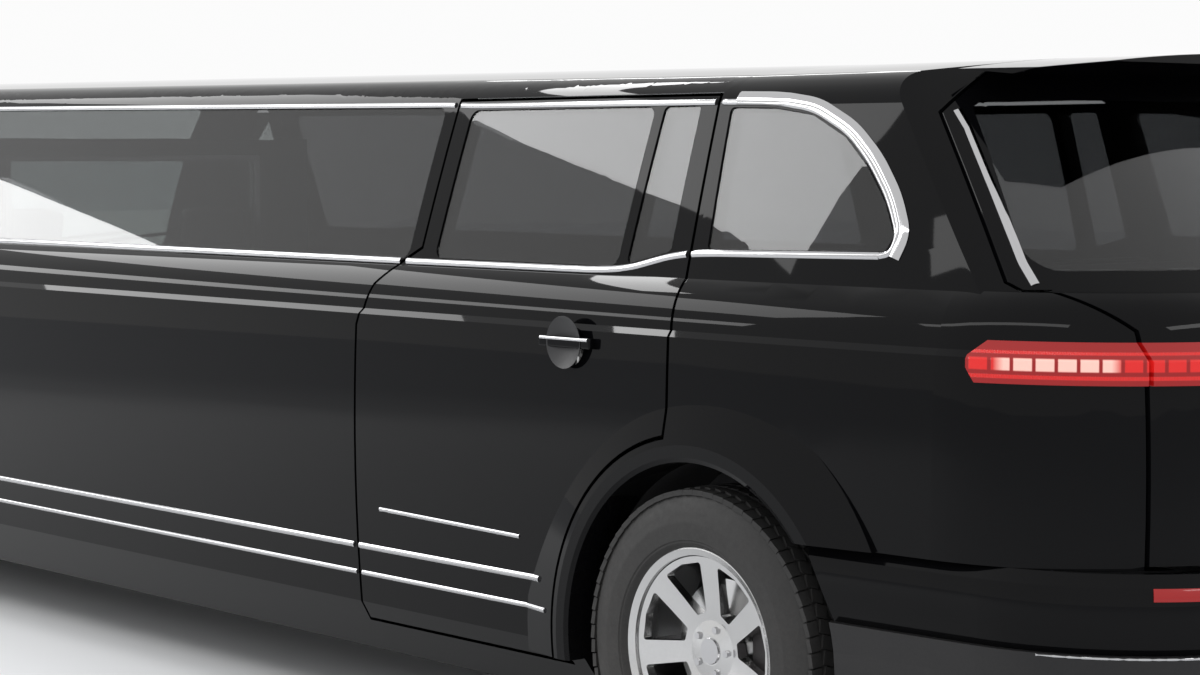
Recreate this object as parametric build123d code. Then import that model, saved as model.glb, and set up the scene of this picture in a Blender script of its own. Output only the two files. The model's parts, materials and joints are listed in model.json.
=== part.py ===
from build123d import *
import math
import os

os.makedirs("parts", exist_ok=True)

# Stretch limousine on a seven-seat crossover wagon. Millimetres, +X forward, +Y left, +Z up.
# The origin is on the ground under the middle of the car.

# Overall sizes
half_width = 950.0            # body side at its widest, without the wheel-arch flares
wheelbase = 6043.0
rear_axle_x = -2857.0
front_axle_x = rear_axle_x + wheelbase
roof_height = 1728.0           # crown over the rear wheels
roof_rise = 50.0              # the roof climbs this much over the straight part, going forward
belt_height = 1222.0
crease_height = 1090.0
sill_bottom = 190.0
door_bottom = 285.0

# Plan of the body: a straight side, a long taper arc, a corner arc and an end arc
rear_taper_x = -2750.0
rear_taper_radius = 10000.0
rear_corner_x = -3550.0
rear_corner_radius = 550.0
rear_corner_turn = 75.0
front_taper_x = 2750.0
straight_length = 5400.0      # upper shell, from the rear taper to the windscreen
front_taper_radius = 7000.0
front_corner_x = 3500.0
front_corner_radius = 650.0
front_corner_turn = 68.0
bumper_rear_corner_x = -3670.0
bumper_rear_corner_radius = 480.0
bumper_rear_turn = 76.0
bumper_front_corner_x = 3529.0
bumper_front_corner_radius = 655.0
bumper_front_turn = 68.0

# Greenhouse
belt_inset = 84.0
cant_inset = 212.0
cant_height = 1610.0
cant_radius = 110.0
crown_radius = 5408.0
upper_wall = 48.0
roof_wall = 38.0
upper_base = 1100.0           # the upper shell starts inside the lower wall
glass_inset = 4.0
glass_thickness = 6.0
window_corner = 28.0

# Windscreen and rear window: cylinders that lie along their own slope
windscreen_foot = (2500.0, 1130.0)
windscreen_head = (1760.0, 1690.0)
windscreen_radius = 2600.0
rear_window_foot = (-3970.0, 1222.0)
rear_window_head = (-3500.0, 1665.0)
rear_window_radius = 1500.0
end_wall = 45.0

# Front deck: one arc in side view and a flat crown across
deck_top_x = 1300.0
deck_top_side = 1225.0
deck_radius = 11700.0
deck_crown_radius = 8800.0
bonnet_skin = 28.0
bonnet_rear_x = 2520.0
bonnet_half_width = 700.0
bonnet_gap = 7.0

# Doors
shut_gap = 9.0
arch_gap = 10.5                # rear door to the strip round the wheel arch
shut_slant = 0.25             # rear shut faces lean forward going inboard
hinge_setback = 70.0
hinge_depth = 16.0
hinge_pin_radius = 5.0
hinge_eye_radius = 9.0
hinge_fit = 0.05
hinge_height = 44.0
hinge_levels = (520.0, 960.0)
front_door_front_x = 2390.0
front_door_rear_x = 1250.0
rear_door_front_x = -1540.0
rear_door_rear_x = -2757.0
door_top = 1640.0              # rear door
front_door_top = 1668.0
arch_door_radius = 500.0
rear_handle_x, front_handle_x = -2410.0, 1390.0
handle_height, handle_length, handle_y = 1060.0, 190.0, 963.0
mirror_x, mirror_y, mirror_height = 2035.0, 1010.0, 1290.0
mirror_size = (110.0, 220.0, 150.0)

# Tailgate
tailgate_half_width = 700.0
tailgate_bottom = 675.0
tailgate_gap = 8.0
tailgate_front_x = -3345.0    # straight shut line across the roof

# Wheels
tyre_radius = 376.0
tyre_width = 245.0
wheel_outer_y = 955.0
arch_radius = 435.0
flare_radius = 615.0
flare_y = 965.0
spoke_count = 7
hub_bore_radius = 32.0
axle_fit = 0.05
kingpin_y = 770.0
kingpin_radius = 14.0

# Lamps and bumpers
lamp_low, lamp_crease, lamp_high = 1040.0, 1088.0, 1126.0
lamp_tip_x = -3632.0
bumper_top = 665.0
cladding_top = 502.0
front_bumper_top = 560.0


def plan_start(taper_x, taper_radius, corner_x):
    """Point and heading where a taper arc ends; x counts outward from the middle."""
    turn = math.asin((corner_x - taper_x) / taper_radius)
    return half_width - taper_radius * (1 - math.cos(turn)), turn


def chain(profile, taper_x, taper_radius, corner_x, corner_radius, corner_turn, middle):
    """Carries a wall profile (inset, height) round the rear left quarter of the plan."""
    side_y, turn = plan_start(taper_x, taper_radius, corner_x)
    turn2 = math.radians(corner_turn)

    def place(x, y, angle):
        inward = (math.sin(angle), -math.cos(angle), 0)
        return Plane(origin=(x, y, 0), x_dir=inward, z_dir=(-math.cos(angle), -math.sin(angle), 0)) * profile

    pieces = []
    start = place(-taper_x, half_width, 0)
    if middle:
        pieces.append(extrude(start, amount=taper_x, dir=(1, 0, 0)))
    pieces.append(revolve(start, axis=Axis((-taper_x, half_width - taper_radius, 0), (0, 0, 1)),
                          revolution_arc=math.degrees(turn)))
    cx = -corner_x + corner_radius * math.sin(turn)
    cy = side_y - corner_radius * math.cos(turn)
    pieces.append(revolve(place(-corner_x, side_y, turn), axis=Axis((cx, cy, 0), (0, 0, 1)),
                          revolution_arc=corner_turn - math.degrees(turn)))
    ex = cx - corner_radius * math.sin(turn2)
    ey = cy + corner_radius * math.cos(turn2)
    end_radius = ey / math.cos(turn2)
    pieces.append(revolve(place(ex, ey, turn2), axis=Axis((ex + end_radius * math.sin(turn2), 0, 0), (0, 0, 1)),
                          revolution_arc=90 - corner_turn))
    return pieces


def rear_chain(profile, corner_x=-rear_corner_x, corner_radius=rear_corner_radius,
               corner_turn=rear_corner_turn, middle=True):
    return chain(profile, -rear_taper_x, rear_taper_radius, corner_x, corner_radius, corner_turn, middle)


def front_chain(profile, corner_x=front_corner_x, corner_radius=front_corner_radius,
                corner_turn=front_corner_turn, middle=True):
    pieces = chain(profile, front_taper_x, front_taper_radius, corner_x, corner_radius, corner_turn, middle)
    return [mirror(piece, about=Plane.YZ) for piece in pieces]


def join(pieces):
    whole = pieces[0]
    for piece in pieces[1:]:
        whole = whole + piece
    return whole


def both_sides(solid):
    return solid + mirror(solid, about=Plane.XZ)


def block(x0, x1, y0, y1, z0, z1):
    return Pos((x0 + x1) / 2, (y0 + y1) / 2, (z0 + z1) / 2) * Box(x1 - x0, y1 - y0, z1 - z0)


def face_xz(points, y=0.0, radius=0.0):
    face = make_face(Polyline(*points, close=True))
    if radius:
        face = fillet(face.vertices(), radius)
    return Plane(origin=(0, y, 0), x_dir=(1, 0, 0), z_dir=(0, -1, 0)) * face


def prism_y(points, y0, y1, radius=0.0):
    return extrude(face_xz(points, y0, radius), amount=y1 - y0, dir=(0, 1, 0))


def prism_x(points, x0, x1, radius=0.0):
    """Closed outline of (y, z) points carried from x0 to x1."""
    face = make_face(Polyline(*points, close=True))
    if radius:
        face = fillet(face.vertices(), radius)
    return extrude(Plane(origin=(x0, 0, 0), x_dir=(0, 1, 0), z_dir=(1, 0, 0)) * face, amount=x1 - x0)


def prism_z(points, z0, z1, radius=0.0):
    face = make_face(Polyline(*points, close=True))
    if radius:
        face = fillet(face.vertices(), radius)
    return extrude(Plane(origin=(0, 0, z0)) * face, amount=z1 - z0)


def tube_y(x, z, radius, y0, y1):
    return Pos(x, (y0 + y1) / 2, z) * Rot(90, 0, 0) * Cylinder(radius, y1 - y0)


# Lower body wall: the profile of inset and height, carried round the plan
def wall_profile():
    outer = [Line((100, sill_bottom), (20, 330)),
             ThreePointArc((20, 330), (0, 760), (8, crease_height)),
             Line((8, crease_height), (20, crease_height + 14)),
             ThreePointArc((20, crease_height + 14), (35, 1166), (82, belt_height)),
             Line((82, belt_height), (150, belt_height))]
    inner = [Line((150, belt_height), (150, 1190)), Line((150, 1190), (108, 1150)),
             Line((108, 1150), (100, 700)), Line((100, 700), (108, 350)),
             Line((108, 350), (170, 300)), Line((170, 300), (180, sill_bottom)),
             Line((180, sill_bottom), (100, sill_bottom))]
    return make_face(Wire(outer + inner))


def bumper_profile(low, high, depth=60.0, tuck=14.0):
    return make_face(Wire([
        ThreePointArc((tuck, low), (0, (low + high) / 2), (6, high - 26)),
        Line((6, high - 26), (26, high)), Line((26, high), (depth, high)),
        Line((depth, high), (depth, low)), Line((depth, low), (tuck, low))]))


profile = wall_profile()
ring_left = join(rear_chain(profile) + front_chain(profile))


# Front deck: the surface that the bonnet, the wings and the nose share
def deck(lower):
    axis_z = deck_top_side + half_crown - deck_radius
    top = deck_radius - lower
    side = 1100.0
    drop = deck_crown_radius - math.sqrt(deck_crown_radius ** 2 - side ** 2)
    outline = Wire([
        Line((-side, 0), (-side, top - drop)),
        ThreePointArc((-side, top - drop), (0, top), (side, top - drop)),
        Line((side, top - drop), (side, 0)), Line((side, 0), (-side, 0))])
    face = Plane(origin=(deck_top_x, 0, axis_z), x_dir=(0, 1, 0), z_dir=(1, 0, 0)) * make_face(outline)
    return revolve(face, axis=Axis((deck_top_x, 0, axis_z), (0, 1, 0)), revolution_arc=20)


half_crown = deck_crown_radius - math.sqrt(deck_crown_radius ** 2 - 870.0 ** 2)
deck_solid = deck(0)
deck_front = block(deck_top_x, 4500, -1100, 1100, 0, 1600)


# Greenhouse: half of the cross-section, with the side, the cant rail and the crown
def upper_section(inward, rise=0.0):
    lean = (cant_inset - belt_inset) / (cant_height - belt_height)
    base_u = belt_inset - lean * (belt_height - upper_base) + inward
    top_u = cant_inset + lean * 160 + inward
    crown_z = roof_height + rise - min(inward, roof_wall)
    r = crown_radius
    def crown(u):
        y = half_width - u
        return crown_z - (r - math.sqrt(r * r - y * y))
    side_top = (top_u, cant_height + 160)
    mid_u = (base_u + top_u) / 2 - 7
    mid_z = (upper_base + cant_height + 160) / 2
    side = ThreePointArc((base_u, upper_base), (mid_u, mid_z), side_top)
    roof = ThreePointArc((120, crown(120)), (560, crown(560)), (1000, crown(1000)))
    # corner of side and crown
    low, high = 0.0, 1.0
    for _ in range(50):
        t = (low + high) / 2
        p = side.position_at(t)
        if p.Y < crown(p.X):
            low = t
        else:
            high = t
    corner = side.position_at(low)
    side = side.trim(0, low)
    corner = (corner.X, corner.Y)
    roof = ThreePointArc(corner, (560, crown(560)), (1000, crown(1000)))
    side = ThreePointArc((base_u, upper_base), tuple(side.position_at(0.5))[:2], corner)
    face = make_face(Wire([side, roof, Line((1000, crown(1000)), (1000, upper_base)),
                           Line((1000, upper_base), (base_u, upper_base))]))
    radius = max(cant_radius - inward, 40.0)
    return fillet(face.vertices().sort_by_distance((corner[0], corner[1], 0))[0], radius)


def upper_form(inward):
    section = upper_section(inward)
    start = Plane(origin=(rear_taper_x, half_width, 0), x_dir=(0, -1, 0), z_dir=(-1, 0, 0)) * section
    ahead = Plane(origin=(rear_taper_x + straight_length, half_width, 0), x_dir=(0, -1, 0),
                  z_dir=(-1, 0, 0)) * upper_section(inward, roof_rise)
    reach = math.degrees(math.asin(1450 / rear_taper_radius))
    half = loft([start, ahead], ruled=True) + revolve(
        start, axis=Axis((rear_taper_x, half_width - rear_taper_radius, 0), (0, 0, 1)), revolution_arc=reach)
    return both_sides(half & block(-4300, 2700, 0, 1100, 1000, 1850))


def slope_form(foot, head, radius, inward, facing):
    """Everything behind a window cylinder that lies along the slope from foot to head."""
    dx, dz = head[0] - foot[0], head[1] - foot[1]
    run = math.hypot(dx, dz)
    along = (dx / run, 0, dz / run)
    out = (dz / run, 0, -dx / run) if facing > 0 else (-dz / run, 0, dx / run)
    centre = (foot[0] - out[0] * (radius + inward) - along[0] * 1500,
              0, foot[1] - out[2] * (radius + inward) - along[2] * 1500)
    return extrude(Plane(origin=centre, x_dir=(0, 1, 0), z_dir=along) * Circle(radius), amount=run + 3000)


def envelope(inward):
    form = upper_form(inward)
    back = slope_form(rear_window_foot, rear_window_head, rear_window_radius, inward if inward < 20 else end_wall, -1)
    front = slope_form(windscreen_foot, windscreen_head, windscreen_radius, inward if inward < 20 else end_wall, 1)
    rear_part = form & block(-4300, -2000, -1100, 1100, 1000, 1800) & back
    mid_part = form & block(-2000, 0, -1100, 1100, 1000, 1800)
    front_part = form & block(0, 2700, -1100, 1100, 1000, 1800) & front
    return rear_part + mid_part + front_part


def write(node, shape):
    solids = shape.solids()
    export_step(solids[0] if len(solids) == 1 else Compound(children=list(solids)), f"parts/{node}.step")


def side_cut(points, gap=0.0, radius=0.0):
    """Region of the left wall inside an outline: straight at the front, slanted at the rear."""
    face = make_face(Polyline(*points, close=True))
    if gap:
        face = offset(face, amount=gap, kind=Kind.INTERSECTION)
    if radius:
        face = fillet(face.vertices(), radius)
    placed = Plane(origin=(0, half_width, 0), x_dir=(1, 0, 0), z_dir=(0, -1, 0)) * face
    reach = 420.0
    slant = math.hypot(1, shut_slant)
    out, into = (-shut_slant / slant, 1 / slant, 0), (shut_slant / slant, -1 / slant, 0)
    straight = extrude(placed, amount=60, dir=(0, 1, 0)) + extrude(placed, amount=reach, dir=(0, -1, 0))
    slanted = extrude(placed, amount=60, dir=out) + extrude(placed, amount=reach * slant, dir=into)
    return straight & slanted


wheel_z = tyre_radius

# Wheel-arch flare: a soft raised band round the opening
def flare(x):
    outline = make_face(Polyline((430, 890), (430, flare_y - 9), (446, flare_y), (474, flare_y),
                                 (flare_radius, 938), (flare_radius, 890), close=True))
    face = Plane(origin=(x, 0, wheel_z), x_dir=(1, 0, 0), z_dir=(0, 0, 1)) * outline
    return revolve(face, axis=Axis((x, 0, wheel_z), (0, 1, 0)), revolution_arc=360)


def arch(x, extra=0.0):
    return tube_y(x, wheel_z, arch_radius + extra, 400, 1100)


def house_space(x):
    """Room for the wheel house and its fit, inboard of the wall."""
    return tube_y(x, wheel_z, 443.3, 400, 845)


# Left wall: lower wall, flares and the upper shell, before the openings are cut
upper_shell = envelope(0) - envelope(upper_wall)
split_y = 648.0
ring_rear = ring_left & block(-4400, deck_top_x, -10, 1100, 0, 1400)
ring_front = ring_left & block(deck_top_x, 4400, -10, 1100, 0, 1400) & deck_solid
left_shell = upper_shell & block(-4300, 2700, split_y, 1100, 1000, 1800)
flare_zone = block(-4400, 4400, 800, 1100, 300, 1100)
wall_rear = ring_rear + (flare(rear_axle_x) & flare_zone) - arch(rear_axle_x)
wall_front = ring_front + (flare(front_axle_x) & flare_zone) - arch(front_axle_x)

# Windows of the left side, as outlines of (x, z)
front_window = [(1338, 1240), (1985, 1228), (1394, 1645), (1338, 1645)]
rear_window = [(-1772, 1240), (-2490, 1240), (-2490, 1618), (-1772, 1618)]
rear_vent = [(-2522, 1246), (-2668, 1280), (-2650, 1618), (-2522, 1618)]
long_window = [(-1660, 1236), (1205, 1236), (1205, 1652), (-1660, 1626)]
quarter_window = [(-2790, 1288), (-3330, 1296), (-3345, 1330), (-3300, 1400), (-3225, 1478),
                  (-3140, 1542), (-3020, 1594), (-2900, 1610), (-2752, 1613)]


def window(points, radius=window_corner):
    return prism_y(points, 600, 1000, radius)


left_windows = [window(front_window, 22), window(rear_window), window(rear_vent, 14), window(long_window),
                window(quarter_window, 12)]
glass_layer = envelope(glass_inset) - envelope(glass_inset + glass_thickness)
left_glass = [glass_layer & w for w in left_windows]

rear_window_outline = [(-735, 1262), (735, 1262), (600, 1622), (-600, 1622)]
windscreen_outline = [(-745, 1158), (745, 1158), (590, 1690), (-590, 1690)]
rear_window_cut = prism_x(rear_window_outline, -4300, -3050, 40)
windscreen_cut = prism_x(windscreen_outline, 1300, 2700, 40)

# Tailgate region
gate_outline = [(-700, tailgate_bottom), (700, tailgate_bottom), (700, 1150), (778, 1240), (660, 1622),
                (640, 1850), (-640, 1850), (-660, 1622), (-778, 1240), (-700, 1150)]


def gate_region(gap=0.0):
    face = make_face(Polyline(*gate_outline, close=True))
    if gap:
        face = offset(face, amount=gap, kind=Kind.INTERSECTION)
    body = extrude(Plane(origin=(-4400, 0, 0), x_dir=(0, 1, 0), z_dir=(1, 0, 0)) * face, amount=1400)
    core = slope_form(rear_window_foot, rear_window_head, rear_window_radius, 60 + gap, -1)
    high = body & block(-4400, tailgate_front_x + gap, -1000, 1000, 1225 - gap, 1900)
    low = body & block(-4400, -3700, -1000, 1000, 600, 1225)
    return (high - core) + low


gate = gate_region()
gate_hole = gate_region(tailgate_gap)
bumper_zone = block(-4400, -3100, -10, 1100, 0, bumper_top + 0.3)
nose_zone = block(front_axle_x, 4400, -10, 1100, 0, front_bumper_top + 0.3)

# Doors
front_door_outline = [(front_door_front_x, door_bottom), (front_door_front_x, 1010), (2345, 1105), (2175, 1165),
                      (1455, front_door_top), (front_door_rear_x, front_door_top), (front_door_rear_x, door_bottom)]
rear_door_outline = [(rear_door_front_x, door_bottom), (rear_door_front_x, 1060), (-1580, 1165),
                     (-1640, belt_height), (-1716, 1262), (-1716, door_top), (rear_door_rear_x, door_top),
                     (rear_door_rear_x, door_bottom)]
door_arch = tube_y(rear_axle_x, wheel_z, arch_door_radius, 300, 1100)
door_arch_hole = tube_y(rear_axle_x, wheel_z, arch_door_radius - arch_gap, 300, 1100)
left_wall = wall_rear + left_shell
for opening in left_windows:
    left_wall = left_wall - opening
left_wall = left_wall - windscreen_cut - rear_window_cut
door_sides = block(-4400, 2396, -10, 1100, 0, 1800)
wall_for_doors = (left_wall + (wall_front & door_sides)) & door_sides
front_region, front_hole = side_cut(front_door_outline), side_cut(front_door_outline, shut_gap)
rear_region = side_cut(rear_door_outline) - door_arch
rear_hole = side_cut(rear_door_outline, shut_gap) - door_arch_hole
door_lip = block(-3000, 2500, 500, 850, 200, 360)
hinge_y = half_width - hinge_depth - 7


def hinge_parts(front_x):
    """Pocket and pin of the door, and the leaf that the pillar carries, at each level."""
    x = front_x - hinge_setback
    pockets, pins, leaves = [], [], []
    for z in hinge_levels:
        half = hinge_height / 2
        pockets.append(block(x - 15, front_x + 1, 700, hinge_y + 11, z - half - 6, z + half + 6))
        pins.append(Pos(x, hinge_y, z) * Cylinder(hinge_pin_radius, hinge_height + 24))
        eye = Pos(x, hinge_y, z) * Cylinder(hinge_eye_radius, hinge_height)
        arm = block(x - hinge_eye_radius, x + hinge_eye_radius, 833, hinge_y, z - half, z + half)
        pad = block(x - hinge_eye_radius, front_x + 60, 833, 843, z - half, z + half)
        foot = block(front_x + shut_gap, front_x + 60, 833, 852, z - half, z + half)
        bore = Pos(x, hinge_y, z) * Cylinder(hinge_pin_radius + hinge_fit, hinge_height + 2)
        leaves.append(eye + arm + pad + foot - bore)
    return join(pockets), pins, leaves


def door_handle(x):
    """Bar on two feet, over a round dish in the door skin."""
    dish = Pos(x, half_width + 101, handle_height) * Sphere(120)
    bar = block(x - handle_length / 2, x + handle_length / 2, handle_y - 13, handle_y,
                handle_height - 13, handle_height + 13)
    bar = fillet(bar.edges(), 5)
    for foot_x in (x - handle_length / 2 + 14, x + handle_length / 2 - 14):
        bar = bar + block(foot_x - 10, foot_x + 10, 905, handle_y - 6, handle_height - 9, handle_height + 9)
    return dish, bar


def door_mirror():
    """Rounded shell on a foot at the front corner of the window, its glass face sunk in the back."""
    shell = Pos(mirror_x, mirror_y, mirror_height) * Box(*mirror_size)
    shell = fillet(shell.edges(), 40)
    shell = shell - block(mirror_x - 70, mirror_x - mirror_size[0] / 2 + 8, mirror_y - 86, mirror_y + 88,
                          mirror_height - 52, mirror_height + 52)
    foot = prism_y([(1985, 1196), (2065, 1196), (2060, 1242), (2000, 1242)], 850, mirror_y - 60, 10)
    return shell + foot


def make_door(region, front_x, handle_x):
    pockets, pins, leaves = hinge_parts(front_x)
    door = (wall_for_doors & region) - door_lip - pockets
    for pin in pins:
        door = door + pin
    dish, bar = door_handle(handle_x)
    return door - dish + bar, leaves


front_door, front_leaves = make_door(front_region, front_door_front_x, front_handle_x)
front_door = front_door + door_mirror()
rear_door, rear_leaves = make_door(rear_region, rear_door_front_x, rear_handle_x)
body_side = (left_wall + (wall_front & door_sides)) - front_hole - rear_hole - gate_hole - bumper_zone
body_side = body_side - house_space(rear_axle_x)
body_side = body_side & block(-4400, 2398, split_y, 1100, 0, 1800)
for leaf in rear_leaves:
    body_side = body_side + leaf

# Front wings, nose and bonnet
bonnet_outline = [(bonnet_rear_x, -bonnet_half_width), (3500, -690), (3800, -610), (3925, -430), (3960, -150),
                  (3960, 150), (3925, 430), (3800, 610), (3500, 690), (bonnet_rear_x, bonnet_half_width)]


def deck_skin(top, bottom):
    return (deck(top) - deck(bottom)) & deck_front


bonnet_face = make_face(Polyline(*bonnet_outline, close=True))
bonnet_hole_face = offset(bonnet_face, amount=bonnet_gap, kind=Kind.INTERSECTION)
bonnet = deck_skin(0, bonnet_skin) & extrude(Plane(origin=(0, 0, 700)) * bonnet_face, amount=800)
bonnet_hole = deck_skin(-40, bonnet_skin + 12) & extrude(Plane(origin=(0, 0, 700)) * bonnet_hole_face, amount=800)

nose_fill = join(front_chain(make_face(Polyline((6, 700), (6, 1300), (640, 1300), (640, 700), close=True))))
wing_skin = deck_skin(0, 26) & nose_fill
lamp_profile = make_face(Polyline((-3, 700), (-3, 820), (20, 836), (75, 836), (75, 700), close=True))
headlamp_band = join(front_chain(lamp_profile, middle=False))
headlamp = headlamp_band & prism_x([(430, 716), (430, 815), (620, 846), (1000, 880), (1000, 600), (560, 696)],
                                   3560, 4300, 0)
nose = ((ring_front & block(3560, 4400, -10, 1100, front_bumper_top + 0.3, 1200))
        + (wing_skin & block(3560, 4300, -10, 1000, 700, 1200))) - bonnet_hole
grille_mouth = block(3700, 4300, -10, 400, 585, 810)
nose = nose - grille_mouth - headlamp - house_space(front_axle_x)
wing = (wall_front & block(2398.3, 3559.7, -10, 1100, 0, 1300)) - nose_zone
wing = wing + (wing_skin & block(2450, 3559.7, 640, 870, 900, 1300)) - bonnet_hole - house_space(front_axle_x)
wing = wing - block(2440, 2530, 600, 708, 1100, 1300)      # the bonnet's rear corners swing through here
for leaf in front_leaves:
    wing = wing + (leaf & block(2300, 2700, 0, 1100, 0, 1300))

grille_profile = make_face(Polyline((14, 585), (14, 810), (44, 810), (44, 585), close=True))
grille_band = join(front_chain(grille_profile, middle=False)) & block(3700, 4300, -10, 399.7, 585.3, 809.7)
bar_pitch, bar_width, grille_frame = 27.0, 9.0, 14.0
bars = [block(3700, 4300, y - bar_width / 2, y + bar_width / 2, 585.3, 809.7)
        for y in [bar_pitch * (i + 0.5) for i in range(14)]]
frame_edges = [block(3700, 4300, -10, 400, 585, 585 + grille_frame), block(3700, 4300, -10, 400, 810 - grille_frame, 810),
               block(3700, 4300, 399.7 - grille_frame, 400, 585, 810), block(3700, 4300, -10, 400, 693, 702)]
grille = grille_band & join(bars + frame_edges)

front_bumper = join(front_chain(bumper_profile(250, front_bumper_top, 70, 30), bumper_front_corner_x,
                                bumper_front_corner_radius, bumper_front_turn, False))
front_bumper = (front_bumper & block(front_axle_x, 4400, -10, 1100, 0, 700)) - arch(front_axle_x, 3) - house_space(front_axle_x)
front_bumper = both_sides(front_bumper) - block(3800, 4400, -430, 430, 290, 400)

# Rear bumper, lower cladding and tail lamps
rear_bumper = join(rear_chain(bumper_profile(cladding_top + 0.3, bumper_top), -bumper_rear_corner_x,
                              bumper_rear_corner_radius, bumper_rear_turn, False))
rear_bumper = both_sides((rear_bumper & block(-4400, -3120, -10, 1100, 0, 700)) - arch(rear_axle_x, 3)
                         - house_space(rear_axle_x))
cladding_profile = make_face(Wire([Line((-4, cladding_top), (-4, 440)),
                                   ThreePointArc((-4, 440), (4, 330), (46, 222)), Line((46, 222), (80, 222)),
                                   Line((80, 222), (80, cladding_top)), Line((80, cladding_top), (-4, cladding_top))]))
rear_cladding = join(rear_chain(cladding_profile, -bumper_rear_corner_x, bumper_rear_corner_radius,
                                bumper_rear_turn, False))
rear_cladding = both_sides((rear_cladding & block(-4400, -3120, -10, 1100, 0, 700)) - arch(rear_axle_x, 3)
                           - house_space(rear_axle_x))

tail_profile = make_face(Polyline((-3, lamp_low), (-3, lamp_crease), (22, lamp_high), (60, lamp_high),
                                  (60, lamp_low), close=True))
tail_band = join(rear_chain(tail_profile, middle=False))
tail_tip = prism_y([(lamp_tip_x, 1070), (lamp_tip_x - 25, lamp_low - 10), (-4400, lamp_low - 10),
                    (-4400, lamp_high + 10), (lamp_tip_x - 40, lamp_high + 10), (lamp_tip_x, 1096)], -10, 1100)
tail_band = tail_band & tail_tip
tail_lamp = tail_band & block(-4400, -3000, tailgate_half_width + tailgate_gap, 1100, 900, 1300)
gate_lamp = both_sides(tail_band & block(-4400, -3000, -10, tailgate_half_width, 900, 1300))
body_side = body_side - tail_lamp
gate_wall = both_sides(ring_rear) + upper_shell

spoiler = upper_form(0) & prism_y([(-3345, 1790), (-3655, 1790), (-3655, 1702), (-3500, 1676), (-3345, 1690)],
                                  -620, 620)
spoiler = spoiler & prism_z([(-3300, -640), (-3570, -640), (-3655, -520), (-3672, 0), (-3655, 520), (-3570, 640),
                             (-3300, 640)], 1600, 1900)
tailgate = (gate_wall & gate) + (spoiler & gate) - rear_window_cut - gate_lamp
gate_pin_y = 260.0
gate_axis_x, gate_axis_z = -3315.0, 1704.0


def gate_hinge(y):
    """Roof pin, the roof's slot for it, and the gate's swan-neck arm, which swings out below the roof edge."""
    pin = tube_y(gate_axis_x, gate_axis_z, 4, y - 34, y + 34)
    eye = tube_y(gate_axis_x, gate_axis_z, 8, y - 18, y + 18)
    leg = block(gate_axis_x - 6, gate_axis_x + 6, y - 18, y + 18, gate_axis_z - 38, gate_axis_z)
    arm = block(gate_axis_x - 110, gate_axis_x + 6, y - 18, y + 18, gate_axis_z - 38, gate_axis_z - 28)
    riser = block(gate_axis_x - 110, gate_axis_x - 80, y - 18, y + 18, gate_axis_z - 38, gate_axis_z - 6)
    neck = eye + leg + arm + riser - tube_y(gate_axis_x, gate_axis_z, 4 + hinge_fit, y - 20, y + 20)
    slot = block(gate_axis_x - 90, gate_axis_x + 14, y - 24, y + 24, 1640, gate_axis_z + 10)
    return pin, neck, slot


roof_panel = upper_shell & block(-3600, 1950, -split_y, split_y, 1560, 1800)
roof_panel = roof_panel - gate_hole - windscreen_cut
for y in (-gate_pin_y, gate_pin_y):
    pin, neck, slot = gate_hinge(y)
    roof_panel = roof_panel - slot + pin
    tailgate = tailgate + neck

windscreen = glass_layer & windscreen_cut & block(1300, 2700, -900, 900, 1000, 1750)
gate_glass = glass_layer & rear_window_cut & block(-4300, -3000, -900, 900, 1100, 1750)

# Cowl and bulkhead
cowl = upper_shell & block(2200, 2700, -split_y, split_y, 1000, 1158)
cowl = cowl - windscreen_cut + (deck_skin(70, 95) & block(2440, 2512, -694, 694, 900, 1300))
cowl = cowl + block(2486, 2500, -690, 690, 300, 1125)
bonnet_axis_x, bonnet_axis_z, bonnet_pin_y = 2545.0, 1134.0, 620.0


def bonnet_hinge(y):
    """Two ears and a pin on the cowl, and the bonnet's lug that turns on the pin."""
    x, z = bonnet_axis_x, bonnet_axis_z
    ears = []
    for y0 in (y - 20, y + 16):
        ears.append(tube_y(x, z, 10, y0, y0 + 4) + block(x - 8, x + 8, y0, y0 + 4, z - 46, z))
    foot = block(x - 50, x + 8, y - 20, y + 20, z - 46, z - 36)
    lug = tube_y(x, z, 10, y - 13, y + 13) + block(x - 8, x + 8, y - 13, y + 13, z, z + 28)
    return join(ears) + foot + tube_y(x, z, 5, y - 18, y + 18), lug - tube_y(x, z, 5 + hinge_fit, y - 20, y + 20)


for y in (-bonnet_pin_y, bonnet_pin_y):
    fixed, lug = bonnet_hinge(y)
    cowl = cowl + fixed
    bonnet = bonnet + lug

# Floor, rails and wheel houses
floor_y = 766.0
floor_pan = block(-2330, 2486, -floor_y, floor_y, 255, 270) + block(-2345, -2330, -floor_y, floor_y, 255, 600)
floor_pan = floor_pan + prism_z([(-2330, -floor_y), (-3450, -floor_y), (-3750, -620), (-3900, -420), (-3900, 420),
                                 (-3750, 620), (-3450, floor_y), (-2330, floor_y)], 585, 600)
floor_pan = floor_pan + both_sides(block(-2335, 3900, 400, 470, 180, 255))
floor_pan = floor_pan + both_sides(block(-3900, -2335, 400, 470, 500, 585))
floor_pan = floor_pan + block(3820, 3900, -600, 600, 290, 520) + both_sides(block(3700, 3900, 400, 470, 180, 420))
floor_pan = floor_pan + both_sides(block(-2345, -2335, 400, 470, 180, 585))


def wheel_house(x, inner_y):
    shell = tube_y(x, wheel_z, 443, inner_y, 841) - tube_y(x, wheel_z, 438, inner_y + 5, 900)
    return shell & block(x - 500, x + 500, 0, 1100, wheel_z - 22, 1000)


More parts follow.
